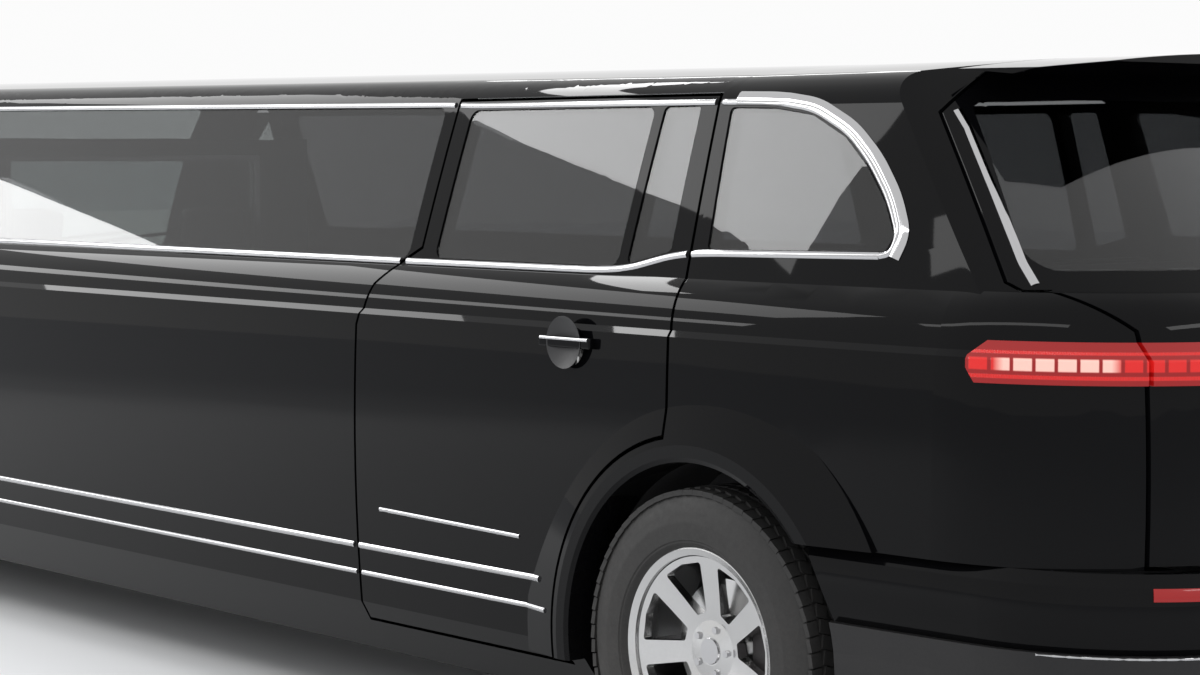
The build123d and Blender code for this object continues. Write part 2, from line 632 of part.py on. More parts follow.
rear_wheel_house = wheel_house(rear_axle_x, 640) - block(rear_axle_x - 36, rear_axle_x + 36, 600, 700, 300, 412)
front_wheel_house = (wheel_house(front_axle_x, 505) - block(front_axle_x - 40, front_axle_x + 40, 500, 512, 300, 600)
                     - Pos(front_axle_x, 600, 725) * Cylinder(45.3, 400))
floor_pan = floor_pan - both_sides(tube_y(rear_axle_x, wheel_z, 444, 639, 900))
rails_clear = both_sides(tube_y(front_axle_x, wheel_z, 444, 504, 900))
floor_pan = floor_pan - rails_clear
wheel_houses = both_sides(rear_wheel_house + front_wheel_house)

# Wheels, drawn at the rear left place and moved
wheel_y = wheel_outer_y - tyre_width / 2


def tyre_solid():
    h = tyre_width / 2
    outline = make_face(Wire([
        Line((229.2, -97.2), (243.6, -103.2)), Line((243.6, -103.2), (243.6, -110)),
        Line((243.6, -110), (250, -h + 4)), ThreePointArc((250, -h + 4), (300, -h), (345, -h + 10)),
        Line((345, -h + 10), (372, -h + 34)), ThreePointArc((372, -h + 34), (tyre_radius, 0), (372, h - 34)),
        Line((372, h - 34), (345, h - 10)), ThreePointArc((345, h - 10), (300, h), (250, h - 4)),
        Line((250, h - 4), (243.6, 110)), Line((243.6, 110), (243.6, 103.2)),
        Line((243.6, 103.2), (229.2, 97.2)), Line((229.2, 97.2), (229.2, -97.2))]))
    return revolve(Plane(origin=(0, 0, 0), x_dir=(1, 0, 0), z_dir=(0, 0, 1)) * outline,
                   axis=Axis((0, 0, 0), (0, 1, 0)), revolution_arc=360)


def ring_y(outer, inner, y0, y1):
    return tube_y(0, 0, outer, y0, y1) - tube_y(0, 0, inner, y0 - 1, y1 + 1)


def rim_solid():
    barrel = make_face(Polyline((228.6, -98), (243, -104), (243, -109), (226, -109), (219, -98), (214, -60),
                                (214, 60), (222, 100), (238, 108), (243, 106), (243, 104), (228.6, 98), close=True))
    rim = revolve(Plane(origin=(0, 0, 0), x_dir=(1, 0, 0), z_dir=(0, 0, 1)) * barrel,
                  axis=Axis((0, 0, 0), (0, 1, 0)), revolution_arc=360)
    disc = make_face(Polyline((0, 64), (34, 66), (70, 60), (140, 74), (219, 92), (219, 70), (140, 50), (76, 30),
                              (76, -14), (hub_bore_radius, -14), (hub_bore_radius, 50), (0, 50), close=True))
    face = revolve(Plane(origin=(0, 0, 0), x_dir=(1, 0, 0), z_dir=(0, 0, 1)) * disc,
                   axis=Axis((0, 0, 0), (0, 1, 0)), revolution_arc=360)
    for i in range(spoke_count):
        hole = make_face(Polyline((-16, 88), (16, 88), (62, 196), (0, 206), (-62, 196), close=True))
        hole = fillet(hole.vertices(), 7)
        angle = 20.7 + 360 / spoke_count * i
        cutter = extrude(Plane(origin=(0, 20, 0), x_dir=(1, 0, 0), z_dir=(0, -1, 0)) * hole, amount=90,
                         dir=(0, 1, 0))
        face = face - Rot(0, angle, 0) * cutter
    disc_brake = ring_y(160, 60, -14, 12)
    return rim + face + disc_brake


def wheel_at(shape, x, side):
    placed = Pos(x, wheel_y, wheel_z) * shape
    return placed if side > 0 else mirror(placed, about=Plane.XZ)


tyre, rim = tyre_solid(), rim_solid()
spindle = tube_y(0, 0, hub_bore_radius - axle_fit, -66, 49)

def caliper(link_x):
    """Jaws over the brake disc, behind the wheel centre, and the lug that carries them."""
    jaws = fillet(block(-188, -98, -44, 26, -60, 60).edges().filter_by(Axis.Y), 14)
    return jaws - block(-165.5, -90, -19, 17, -70, 70) + block(-112, link_x, -72, -44, -28, 28)


# Rear axle: beam, differential, uprights, springs
rear_axle = both_sides(Pos(rear_axle_x, wheel_y, wheel_z) * (spindle + tube_y(0, 0, 80, -84, -66) + caliper(-60)))
rear_axle = rear_axle + tube_y(rear_axle_x, wheel_z, 34, -760, 760)
rear_axle = rear_axle + Pos(rear_axle_x, 0, wheel_z) * Sphere(105)
rear_axle = rear_axle + both_sides(Pos(rear_axle_x, 560, (wheel_z + 585) / 2) * Cylinder(48, 585 - wheel_z))
rear_axle = rear_axle + both_sides(block(rear_axle_x, -2345, 500, 540, 350, 400))

# Front suspension: cross member, lower arms, strut towers; knuckles turn on kingpins
pin_low, pin_high = 200.0, 560.0
fx = front_axle_x
front_susp = both_sides(block(fx - 28, fx + 28, 380, 788, 205, 232) + block(fx - 28, fx + 28, 590, 788, 534, 560)
                        + Pos(fx, 600, 725) * Cylinder(45, 382)
                        - Pos(fx, kingpin_y, 400) * Cylinder(kingpin_radius + axle_fit, 500))
front_susp = front_susp + block(fx - 90, fx + 90, -480, 480, 205, 260) - both_sides(
    block(fx - 95, fx + 95, 399.7, 470.3, 170, 255.3))
knuckle = Pos(fx, wheel_y, wheel_z) * (spindle + caliper(-40)) + block(fx - 45, fx + 45, kingpin_y - 26, kingpin_y + 12, 250, 515)
knuckle = knuckle + Pos(fx, kingpin_y, 381) * Cylinder(kingpin_radius, 360)

# Engine, exhaust, tank
engine = block(2900, 3560, -380, 380, 260.3, 880)
pipe_y, pipe_z, pipe_radius = 250.0, 224.7, 30.0
pipe_rear_x, pipe_front_x = -4060.0, 2400.0
silencer = block(-3840, -3330, pipe_y - 125, pipe_y + 125, pipe_z - 18, pipe_z + 130)
exhaust = Pos((pipe_rear_x + pipe_front_x) / 2, pipe_y, pipe_z) * Rot(0, 90, 0) * Cylinder(
    pipe_radius, pipe_front_x - pipe_rear_x)
exhaust = exhaust + fillet(silencer.edges().filter_by(Axis.X), 45) + block(
    -3620, -3560, pipe_y - 12, pipe_y + 12, pipe_z + 100, 584.7)
tank = block(-2300, -1500, -380, 180, 190, 254.7)

# Cabin
column_place = Pos(2010, 370, 960) * Rot(0, -65, 0)
steering_wheel = (column_place * Torus(180, 15) + column_place * Cylinder(45, 30) + column_place * Box(30, 350, 16)
                  + column_place * Pos(0, 0, -110) * Cylinder(24, 220))
dashboard = block(2150, 2485.7, -680, 680, 780, 1060) - column_place * Pos(0, 0, -110) * Cylinder(24.3, 220.6)


def chair(y):
    base = block(1460, 1940, y - 240, y + 240, 270, 420)
    cushion = fillet(block(1460, 1970, y - 250, y + 250, 420, 540).edges(), 30)
    back = Pos(1490, y, 540) * Rot(0, -14, 0) * Pos(-60, 0, 322.2) * Box(120, 480, 650)
    rest = Pos(1490, y, 540) * Rot(0, -14, 0) * Pos(-60, 0, 740) * Box(90, 270, 150)
    posts = Pos(1490, y, 540) * Rot(0, -14, 0) * Pos(-60, 0, 650) * Box(16, 120, 90)
    return base + cushion + fillet(back.edges(), 30) + fillet(rest.edges(), 25) + posts


front_seats = both_sides(chair(370))
partition = block(1150, 1180, -735, 735, 270, 1560)
partition = partition - block(1100, 1200, -500, 500, 1080, 1480)
lounge = fillet(block(-2900, -2310, -600, 600, 600.3, 760).edges(), 25)
lounge = lounge + fillet(block(-3060, -2900, -600, 600, 600.3, 1250).edges(), 25)
side_bench = fillet(block(-1350, 950, 330, 765, 270.3, 690).edges(), 25) + fillet(
    block(-1350, 950, 660, 790, 690, 1130).edges(), 25)
bar = block(-1300, 900, -765, -480, 270, 900)

for side in (1, -1):
    name = "left" if side > 0 else "right"

    def sided(shape):
        return shape if side > 0 else mirror(shape, about=Plane.XZ)

    write(f"body_side_{name}", sided(body_side))
    write(f"front_wing_{name}", sided(wing))
    write(f"front_door_{name}", sided(front_door))
    write(f"rear_door_{name}", sided(rear_door))
    write(f"front_door_glass_{name}", sided(left_glass[0]))
    write(f"rear_door_glass_{name}", sided(left_glass[1] + left_glass[2]))
    write(f"tyre_rear_{name}", wheel_at(tyre, rear_axle_x, side))
    write(f"rim_rear_{name}", wheel_at(rim, rear_axle_x, side))
    write(f"tyre_front_{name}", wheel_at(tyre, front_axle_x, side))
    write(f"rim_front_{name}", wheel_at(rim, front_axle_x, side))
    write(f"knuckle_{name}", sided(knuckle))

write("side_glasses", both_sides(left_glass[3]))
write("quarter_glasses", both_sides(left_glass[4]))
write("roof_panel", roof_panel)
write("cowl", cowl)
write("windscreen", windscreen)
write("nose_panel", both_sides(nose))
write("grille", both_sides(grille))
write("headlamps", both_sides(headlamp))
write("bonnet", bonnet)
write("front_bumper", front_bumper)
write("rear_bumper", rear_bumper)
write("rear_cladding", rear_cladding)
write("tail_lamps", both_sides(tail_lamp))
write("tailgate", tailgate)
write("tailgate_glass", gate_glass)
write("tailgate_lamp", gate_lamp)
write("floor_pan", floor_pan)
write("wheel_houses", wheel_houses)
write("rear_axle", rear_axle)
write("front_suspension", front_susp)
write("engine_block", engine)
write("exhaust", exhaust)
write("fuel_tank", tank)
write("dashboard", dashboard)
write("steering_wheel", steering_wheel)
write("front_seats", front_seats)
write("partition", partition)
write("rear_seat", lounge)
write("side_seat", side_bench)
write("bar_cabinet", bar)
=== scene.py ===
import bpy
import bmesh
import json
import math
from mathutils import Matrix, Vector
from mathutils.bvhtree import BVHTree

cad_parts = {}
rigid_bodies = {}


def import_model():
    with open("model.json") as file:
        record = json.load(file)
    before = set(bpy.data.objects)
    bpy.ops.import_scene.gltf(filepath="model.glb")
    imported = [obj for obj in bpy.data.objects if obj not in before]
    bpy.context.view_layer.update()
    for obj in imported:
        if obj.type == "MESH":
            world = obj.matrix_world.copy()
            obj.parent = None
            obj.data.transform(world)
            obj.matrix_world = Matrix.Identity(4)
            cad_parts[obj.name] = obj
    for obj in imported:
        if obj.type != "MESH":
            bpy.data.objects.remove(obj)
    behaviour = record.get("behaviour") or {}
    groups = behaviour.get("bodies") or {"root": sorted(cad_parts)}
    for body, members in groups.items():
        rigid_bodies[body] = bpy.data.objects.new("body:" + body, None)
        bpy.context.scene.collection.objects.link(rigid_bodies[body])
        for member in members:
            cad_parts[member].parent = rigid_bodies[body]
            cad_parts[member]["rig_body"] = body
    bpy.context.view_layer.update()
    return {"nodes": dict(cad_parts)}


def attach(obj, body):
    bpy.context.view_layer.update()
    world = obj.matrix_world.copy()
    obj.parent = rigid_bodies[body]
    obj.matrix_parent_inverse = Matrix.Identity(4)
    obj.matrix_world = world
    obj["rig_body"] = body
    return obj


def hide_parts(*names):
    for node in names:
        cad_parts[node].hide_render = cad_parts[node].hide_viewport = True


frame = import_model()
nodes = frame["nodes"]
scene = bpy.context.scene
print("frame loaded:", len(nodes), "nodes")


# an input given as another node's output is linked to it, and any other value is set
def fillInputs(tree, node, inputs):
    for key, value in inputs.items():
        if isinstance(value, bpy.types.NodeSocket):
            tree.links.new(value, node.inputs[key])
        else:
            node.inputs[key].default_value = value


def addNode(tree, kind, inputs=None, **settings):
    node = tree.nodes.new(kind)
    for name, value in settings.items():
        setattr(node, name, value)
    fillInputs(tree, node, inputs or {})
    return node


def calculate(tree, operation, *values, clamp=False):
    return addNode(tree, "ShaderNodeMath", dict(enumerate(values)), operation=operation, use_clamp=clamp).outputs[0]


def mixColours(tree, factor, first, second):
    return addNode(tree, "ShaderNodeMix", {"Factor": factor, 6: first, 7: second}, data_type="RGBA").outputs[2]


def objectPlace(tree):
    return addNode(tree, "ShaderNodeTexCoord").outputs["Object"]


def newGroup(name, inputs, outputs, kind="ShaderNodeTree"):
    group = bpy.data.node_groups.new(name, kind)
    for label, socketKind, value in inputs:
        socket = group.interface.new_socket(name=label, in_out="INPUT", socket_type="NodeSocket" + socketKind)
        if value is not None:
            socket.default_value = value
    for label, socketKind in outputs:
        group.interface.new_socket(name=label, in_out="OUTPUT", socket_type="NodeSocket" + socketKind)
    return group, group.nodes.new("NodeGroupInput").outputs, group.nodes.new("NodeGroupOutput")


# road film: fine dust that lies thickest near the ground
roadDust = {"broadScale": 7.0, "fineScale": 160.0, "gain": 2.6}


def makeRoadFilm():
    group, start, end = newGroup("roadFilm", [
        ("Base", "Color", (0.01, 0.01, 0.01, 1)), ("Dust", "Color", (0.2, 0.18, 0.16, 1)),
        ("Top", "Float", 0.9), ("Amount", "Float", 0.15),
    ], [("Color", "Color"), ("Mask", "Float")])
    place = objectPlace(group)
    height = addNode(group, "ShaderNodeSeparateXYZ", {0: place}).outputs["Z"]
    fall = calculate(group, "SUBTRACT", 1.0, calculate(group, "DIVIDE", height, start["Top"]), clamp=True)
    broad = addNode(group, "ShaderNodeTexNoise",
                    {"Vector": place, "Scale": roadDust["broadScale"], "Detail": 8.0, "Roughness": 0.65})
    fine = addNode(group, "ShaderNodeTexNoise", {"Vector": place, "Scale": roadDust["fineScale"], "Detail": 4.0})
    speckle = calculate(group, "MULTIPLY", broad.outputs["Fac"], fine.outputs["Fac"])
    lift = calculate(group, "MULTIPLY", speckle, roadDust["gain"])
    mask = calculate(group, "MULTIPLY", calculate(group, "MULTIPLY", lift, fall), start["Amount"], clamp=True)
    fillInputs(group, end, {"Color": mixColours(group, mask, start["Base"], start["Dust"]), "Mask": mask})
    return group


# surface grain: a value that varies finely about its middle, for roughness and bump heights
def makeGrain():
    group, start, end = newGroup("surfaceGrain", [
        ("Scale", "Float", 40.0), ("Middle", "Float", 0.4), ("Spread", "Float", 0.1),
    ], [("Value", "Float"), ("Height", "Float")])
    noise = addNode(group, "ShaderNodeTexNoise", {"Vector": objectPlace(group), "Scale": start["Scale"],
                                                  "Detail": 6.0, "Roughness": 0.6}).outputs["Fac"]
    change = calculate(group, "MULTIPLY", calculate(group, "SUBTRACT", noise, 0.5), start["Spread"])
    fillInputs(group, end, {"Value": calculate(group, "ADD", change, start["Middle"]), "Height": noise})
    return group


# pebbled skin of hide and moulded plastic
def makePebble():
    group, start, end = newGroup("pebbleSkin", [
        ("Scale", "Float", 400.0), ("Light", "Color", (0.05, 0.05, 0.05, 1)),
        ("Dark", "Color", (0.02, 0.02, 0.02, 1)),
    ], [("Color", "Color"), ("Height", "Float")])
    cells = addNode(group, "ShaderNodeTexVoronoi", {"Vector": objectPlace(group), "Scale": start["Scale"]},
                    feature="DISTANCE_TO_EDGE")
    edge = calculate(group, "MULTIPLY", cells.outputs["Distance"], 6.0, clamp=True)
    fillInputs(group, end, {"Color": mixColours(group, edge, start["Dark"], start["Light"]), "Height": edge})
    return group


roadFilm, surfaceGrain, pebbleSkin = makeRoadFilm(), makeGrain(), makePebble()


def newMaterial(name, constants):
    material = bpy.data.materials.new(name)
    material.use_nodes = True
    tree = material.node_tree
    shader = tree.nodes["Principled BSDF"]
    fillInputs(tree, shader, constants)
    return material, tree, shader


def placeGroup(tree, group, inputs):
    return addNode(tree, "ShaderNodeGroup", inputs, node_tree=group).outputs


def addBump(tree, shader, height, strength, distance):
    bump = addNode(tree, "ShaderNodeBump", {"Strength": strength, "Distance": distance, "Height": height})
    fillInputs(tree, shader, {"Normal": bump.outputs["Normal"]})


def rampColours(tree, factor, low, high):
    ramp = addNode(tree, "ShaderNodeValToRGB", {"Fac": factor})
    ramp.color_ramp.elements[0].color, ramp.color_ramp.elements[1].color = low, high
    return ramp.outputs["Color"]


finishes = {
    "paintColour": (0.0022, 0.0022, 0.0026, 1), "dustColour": (0.16, 0.145, 0.125, 1),
    "brightColour": (0.50, 0.50, 0.51, 1), "alloyColour": (0.56, 0.56, 0.56, 1),
    "plasticColour": (0.010, 0.010, 0.011, 1), "rubberColour": (0.018, 0.018, 0.018, 1),
    "hideColour": (0.028, 0.026, 0.025, 1), "privacyTint": (0.16, 0.165, 0.17, 1),
    "clearTint": (0.72, 0.78, 0.76, 1), "glassDust": (0.5, 0.48, 0.45, 1), "rubberDust": (0.09, 0.08, 0.07, 1),
    "woodDark": (0.045, 0.016, 0.008, 1), "woodLight": (0.16, 0.062, 0.026, 1),
    "pileDark": (0.012, 0.011, 0.011, 1), "pileLight": (0.05, 0.047, 0.045, 1),
}


# a finish with road film over it; grain is scale, middle and spread of the roughness, bump is strength and distance
def filmedFinish(name, base, top, amount, grain, constants, bump=None, dust=finishes["dustColour"], dulling=0.5):
    material, tree, shader = newMaterial(name, constants)
    film = placeGroup(tree, roadFilm, {"Base": base, "Dust": dust, "Top": top, "Amount": amount})
    rough = placeGroup(tree, surfaceGrain, dict(zip(("Scale", "Middle", "Spread"), grain)))
    roughness = rough["Value"]
    if dulling:
        roughness = calculate(tree, "MULTIPLY_ADD", film["Mask"], dulling, roughness)
    fillInputs(tree, shader, {"Base Color": film["Color"], "Roughness": roughness})
    if bump:
        addBump(tree, shader, rough["Height"], *bump)
    return material


def makeGlass(name, tint, roughness):
    return filmedFinish(name, tint, 2.6, 0.05, (12.0, roughness, roughness),
                        {"Transmission Weight": 1.0, "IOR": 1.5, "Specular IOR Level": 0.5},
                        dust=finishes["glassDust"], dulling=0.0)


blackPaint = filmedFinish("blackPaint", finishes["paintColour"], 0.75, 0.02, (1400.0, 0.22, 0.06),
                          {"Coat Weight": 1.0, "Coat Roughness": 0.02, "Coat IOR": 1.22,
                           "Specular IOR Level": 0.0}, (0.004, 0.0004))
brightTrim = filmedFinish("brightTrim", finishes["brightColour"], 0.6, 0.10, (60.0, 0.07, 0.04), {"Metallic": 1.0})
satinBlack = filmedFinish("satinBlack", finishes["plasticColour"], 0.9, 0.08, (900.0, 0.42, 0.12),
                          {"Specular IOR Level": 0.3}, (0.12, 0.0006))
mouldedBlack = filmedFinish("mouldedBlack", (0.02, 0.02, 0.021, 1), 0.9, 0.30, (1100.0, 0.5, 0.15), {},
                            (0.25, 0.0008))
glossBlack = filmedFinish("glossBlack", (0.008, 0.008, 0.009, 1), 0.6, 0.08, (300.0, 0.12, 0.05),
                          {"Coat Weight": 0.4, "Coat Roughness": 0.03})
underCoat = filmedFinish("underCoat", (0.03, 0.03, 0.032, 1), 0.9, 0.55, (90.0, 0.7, 0.25), {}, (0.5, 0.002))
forgedSteel = filmedFinish("forgedSteel", (0.17, 0.165, 0.16, 1), 0.9, 0.5, (120.0, 0.45, 0.25),
                           {"Metallic": 0.85}, (0.2, 0.001), dust=(0.2, 0.12, 0.07, 1))
castIron = filmedFinish("castIron", (0.07, 0.07, 0.075, 1), 0.9, 0.35, (220.0, 0.6, 0.2),
                        {"Metallic": 0.6}, (0.4, 0.0015), dust=(0.18, 0.13, 0.1, 1))
alloyFinish = filmedFinish("alloyFinish", finishes["alloyColour"], 0.9, 0.16, (260.0, 0.18, 0.06),
                           {"Metallic": 1.0, "Coat Weight": 0.6, "Coat Roughness": 0.05}, (0.02, 0.0004))
mirrorFace = filmedFinish("mirrorGlass", (0.72, 0.74, 0.75, 1), 2.0, 0.02, (30.0, 0.02, 0.01), {"Metallic": 1.0})
tyreRubber = filmedFinish("tyreRubber", finishes["rubberColour"], 1.0, 0.30, (60.0, 0.62, 0.3),
                          {"Specular IOR Level": 0.35}, (0.25, 0.0015), finishes["rubberDust"], 0.0)
privacyGlass = makeGlass("privacyGlass", finishes["privacyTint"], 0.008)
clearGlass = makeGlass("clearGlass", finishes["clearTint"], 0.006)


# hide and the dashboard's skin share the pebbles
def pebbledFinish(name, light, dark, scale, middle, strength, constants):
    material, tree, shader = newMaterial(name, constants)
    skin = placeGroup(tree, pebbleSkin, {"Scale": scale, "Light": light, "Dark": dark})
    rough = placeGroup(tree, surfaceGrain, {"Scale": 25.0, "Middle": middle, "Spread": 0.25})
    fillInputs(tree, shader, {"Base Color": skin["Color"], "Roughness": rough["Value"]})
    addBump(tree, shader, skin["Height"], strength, 0.0006)
    return material


seatHide = pebbledFinish("seatHide", finishes["hideColour"], (0.014, 0.013, 0.012, 1), 420.0, 0.42, 0.35,
                         {"Coat Weight": 0.15, "Coat Roughness": 0.35})
dashSkin = pebbledFinish("dashSkin", (0.03, 0.03, 0.03, 1), (0.015, 0.015, 0.015, 1), 600.0, 0.55, 0.3, {})


def makeWood():
    material, tree, shader = newMaterial("panelWood", {"Coat Weight": 0.8, "Coat Roughness": 0.06, "Roughness": 0.3})
    stretched = addNode(tree, "ShaderNodeMapping", {"Vector": objectPlace(tree), "Scale": (1.2, 9.0, 9.0)})
    rings = addNode(tree, "ShaderNodeTexWave", {"Vector": stretched.outputs[0], "Scale": 2.2, "Distortion": 5.0,
                                                "Detail": 4.0, "Detail Scale": 1.5}).outputs["Fac"]
    colour = rampColours(tree, rings, finishes["woodDark"], finishes["woodLight"])
    fillInputs(tree, shader, {"Base Color": colour})
    addBump(tree, shader, rings, 0.04, 0.001)
    return material


def makeCarpet():
    material, tree, shader = newMaterial("cabinCarpet",
                                         {"Roughness": 0.95, "Sheen Weight": 0.4, "Sheen Roughness": 0.5})
    pile = addNode(tree, "ShaderNodeTexNoise",
                   {"Vector": objectPlace(tree), "Scale": 700.0, "Detail": 4.0}).outputs["Fac"]
    colour = rampColours(tree, pile, finishes["pileDark"], finishes["pileLight"])
    fillInputs(tree, shader, {"Base Color": colour})
    addBump(tree, shader, pile, 0.6, 0.003)
    return material


panelWood, cabinCarpet = makeWood(), makeCarpet()


# one where the value lies in a span, with a soft edge
def makeSpanMask():
    group, start, end = newGroup("spanMask", [
        ("Value", "Float", 0.0), ("Low", "Float", 0.0), ("High", "Float", 1.0),
        ("Edge", "Float", 0.002)], [("Mask", "Float")])
    above, below = [calculate(group, "DIVIDE", calculate(group, "SUBTRACT", start[greater], start[lesser]),
                              start["Edge"], clamp=True)
                    for greater, lesser in (("Value", "Low"), ("High", "Value"))]
    fillInputs(group, end, {"Mask": calculate(group, "MULTIPLY", above, below, clamp=True)})
    return group


spanMask = makeSpanMask()


def spanOf(tree, source, span, edge):
    return placeGroup(tree, spanMask, {"Value": source, "Low": span[0], "High": span[1], "Edge": edge})["Mask"]


# tail lamp: red lens, a row of clear cells and fluted light bars above and below
tailLamp = {"clearColour": (0.85, 0.50, 0.42, 1), "deepRed": (0.26, 0.003, 0.003, 1), "red": (0.62, 0.012, 0.01, 1),
            "cell": 0.062, "cellShare": (0.06, 0.94), "barLow": (1.050, 1.060), "cells": (1.066, 1.094),
            "barHigh": (1.100, 1.108), "clearEnd": (2.80, 3.16), "flutes": 1400.0, "glow": 0.30}


def makeLampRed():
    material, tree, shader = newMaterial("lampRed", {
        "Coat Weight": 0.6, "Coat Roughness": 0.02, "Roughness": 0.3, "Specular IOR Level": 0.2,
        "Emission Strength": tailLamp["glow"]})
    parts = addNode(tree, "ShaderNodeSeparateXYZ", {0: objectPlace(tree)}).outputs
    # distance along the lamp, round the corner of the body
    aside = calculate(tree, "ABSOLUTE", parts["Y"])
    along = calculate(tree, "MULTIPLY", calculate(tree, "ADD", parts["X"], aside), -1.0)
    bars = calculate(tree, "ADD", spanOf(tree, parts["Z"], tailLamp["barLow"], 0.002),
                     spanOf(tree, parts["Z"], tailLamp["barHigh"], 0.002), clamp=True)
    share = calculate(tree, "FRACT", calculate(tree, "DIVIDE", along, tailLamp["cell"]))
    cells = calculate(tree, "MULTIPLY", spanOf(tree, share, tailLamp["cellShare"], 0.05),
                      spanOf(tree, parts["Z"], tailLamp["cells"], 0.003), clamp=True)
    clear = calculate(tree, "MULTIPLY", cells, spanOf(tree, along, tailLamp["clearEnd"], 0.03), clamp=True)
    shade = mixColours(tree, calculate(tree, "MAXIMUM", bars, cells), tailLamp["deepRed"], tailLamp["red"])
    colour = mixColours(tree, clear, shade, tailLamp["clearColour"])
    fillInputs(tree, shader, {"Base Color": colour, "Emission Color": colour})
    # fine flutes in the bars and raised cells
    flutes = calculate(tree, "SINE", calculate(tree, "MULTIPLY", along, tailLamp["flutes"]))
    addBump(tree, shader, calculate(tree, "MULTIPLY_ADD", flutes, bars, cells), 0.5, 0.002)
    return material


# headlamp: dark bowl with three projectors, a light bar along the bottom and an amber corner
headLamp = {"projectors": (-3.545, -3.405, -3.265), "height": 0.770, "lens": 0.030, "ring": 0.041, "ribs": 780.0,
            "bar": (0.708, 0.719), "barReach": (-3.62, -2.86), "amber": (-2.84, -2.70), "amberHeight": (0.738, 0.800),
            "bowl": (0.010, 0.010, 0.011, 1), "chrome": (0.62, 0.62, 0.63, 1), "glass": (0.10, 0.12, 0.14, 1),
            "barColour": (0.82, 0.86, 0.90, 1), "amberColour": (0.75, 0.20, 0.01, 1)}


def makeHeadLamp():
    material, tree, shader = newMaterial("headLampFace",
                                         {"Coat Weight": 1.0, "Coat Roughness": 0.01, "Roughness": 0.18})
    parts = addNode(tree, "ShaderNodeSeparateXYZ", {0: objectPlace(tree)}).outputs
    along = calculate(tree, "SUBTRACT", calculate(tree, "ABSOLUTE", parts["Y"]), parts["X"])
    face = addNode(tree, "ShaderNodeCombineXYZ", {"X": along, "Y": parts["Z"]}).outputs[0]
    lenses, rings = None, None
    for middle in headLamp["projectors"]:
        reach = addNode(tree, "ShaderNodeVectorMath", {0: face, 1: (middle, headLamp["height"], 0.0)},
                        operation="DISTANCE").outputs["Value"]
        lens = spanOf(tree, reach, (-1.0, headLamp["lens"]), 0.002)
        ring = spanOf(tree, reach, (headLamp["lens"], headLamp["ring"]), 0.003)
        lenses = calculate(tree, "ADD", lenses, lens, clamp=True) if lenses else lens
        rings = calculate(tree, "ADD", rings, ring, clamp=True) if rings else ring
    bar = calculate(tree, "MULTIPLY", spanOf(tree, parts["Z"], headLamp["bar"], 0.002),
                    spanOf(tree, along, headLamp["barReach"], 0.01), clamp=True)
    amber = calculate(tree, "MULTIPLY", spanOf(tree, parts["Z"], headLamp["amberHeight"], 0.003),
                      spanOf(tree, along, headLamp["amber"], 0.004), clamp=True)
    colour = headLamp["bowl"]
    for layer, label in ((rings, "chrome"), (lenses, "glass"), (bar, "barColour"), (amber, "amberColour")):
        colour = mixColours(tree, layer, colour, headLamp[label])
    fillInputs(tree, shader, {"Base Color": colour, "Metallic": rings})
    # ribs in the bowl, none on the projectors
    ripple = calculate(tree, "SINE", calculate(tree, "MULTIPLY", parts["Z"], headLamp["ribs"]))
    plain = calculate(tree, "ADD", rings, lenses, clamp=True)
    addBump(tree, shader, calculate(tree, "SUBTRACT", ripple, plain, clamp=True), 0.4, 0.002)
    return material


lampRed, headLampFace = makeLampRed(), makeHeadLamp()
print("materials made")


def newObject(name, data):
    made = bpy.data.objects.new(name, data)
    scene.collection.objects.link(made)
    return made


def placeMesh(name, data, body, angle, replaced=()):
    # shaded smooth up to the angle, on the body that carries it
    for face in data.polygons:
        face.use_smooth = True
    if angle < 180:
        data.set_sharp_from_angle(angle=math.radians(angle))
    piece = newObject(name, data)
    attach(piece, body)
    if replaced:
        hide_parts(*replaced)
    return piece


def meshFrom(name, work):
    data = bpy.data.meshes.new(name)
    work.to_mesh(data)
    work.free()
    return data


def finishPiece(name, work, material, body="body", angle=30.0, replaced=()):
    data = meshFrom(name, work)
    data.materials.append(material)
    return placeMesh(name, data, body, angle, replaced)


def addBox(work, low, high, bevel):
    made = bmesh.ops.create_cube(work, size=1.0)["verts"]
    bmesh.ops.scale(work, vec=Vector(high) - Vector(low), verts=made)
    bmesh.ops.translate(work, vec=(Vector(high) + Vector(low)) / 2, verts=made)
    edges = list({edge for vert in made for edge in vert.link_edges})
    bmesh.ops.bevel(work, geom=edges, offset=bevel, segments=3, affect="EDGES", profile=0.6)


def boxPiece(name, boxes, material, body="body", angle=30.0, replaced=()):
    # each box is its low corner, its high corner and its bevel
    work = bmesh.new()
    for low, high, bevel in boxes:
        addBox(work, low, high, bevel)
    finishPiece(name, work, material, body, angle, replaced)


def addTube(work, start, end, radius, segments=24, radiusEnd=None):
    start, end = Vector(start), Vector(end)
    turn = (end - start).to_track_quat("Z", "Y").to_matrix().to_4x4()
    bmesh.ops.create_cone(work, cap_ends=True, cap_tris=False, segments=segments, radius1=radius,
                          radius2=radius if radiusEnd is None else radiusEnd, depth=(end - start).length,
                          matrix=Matrix.Translation((start + end) / 2) @ turn)


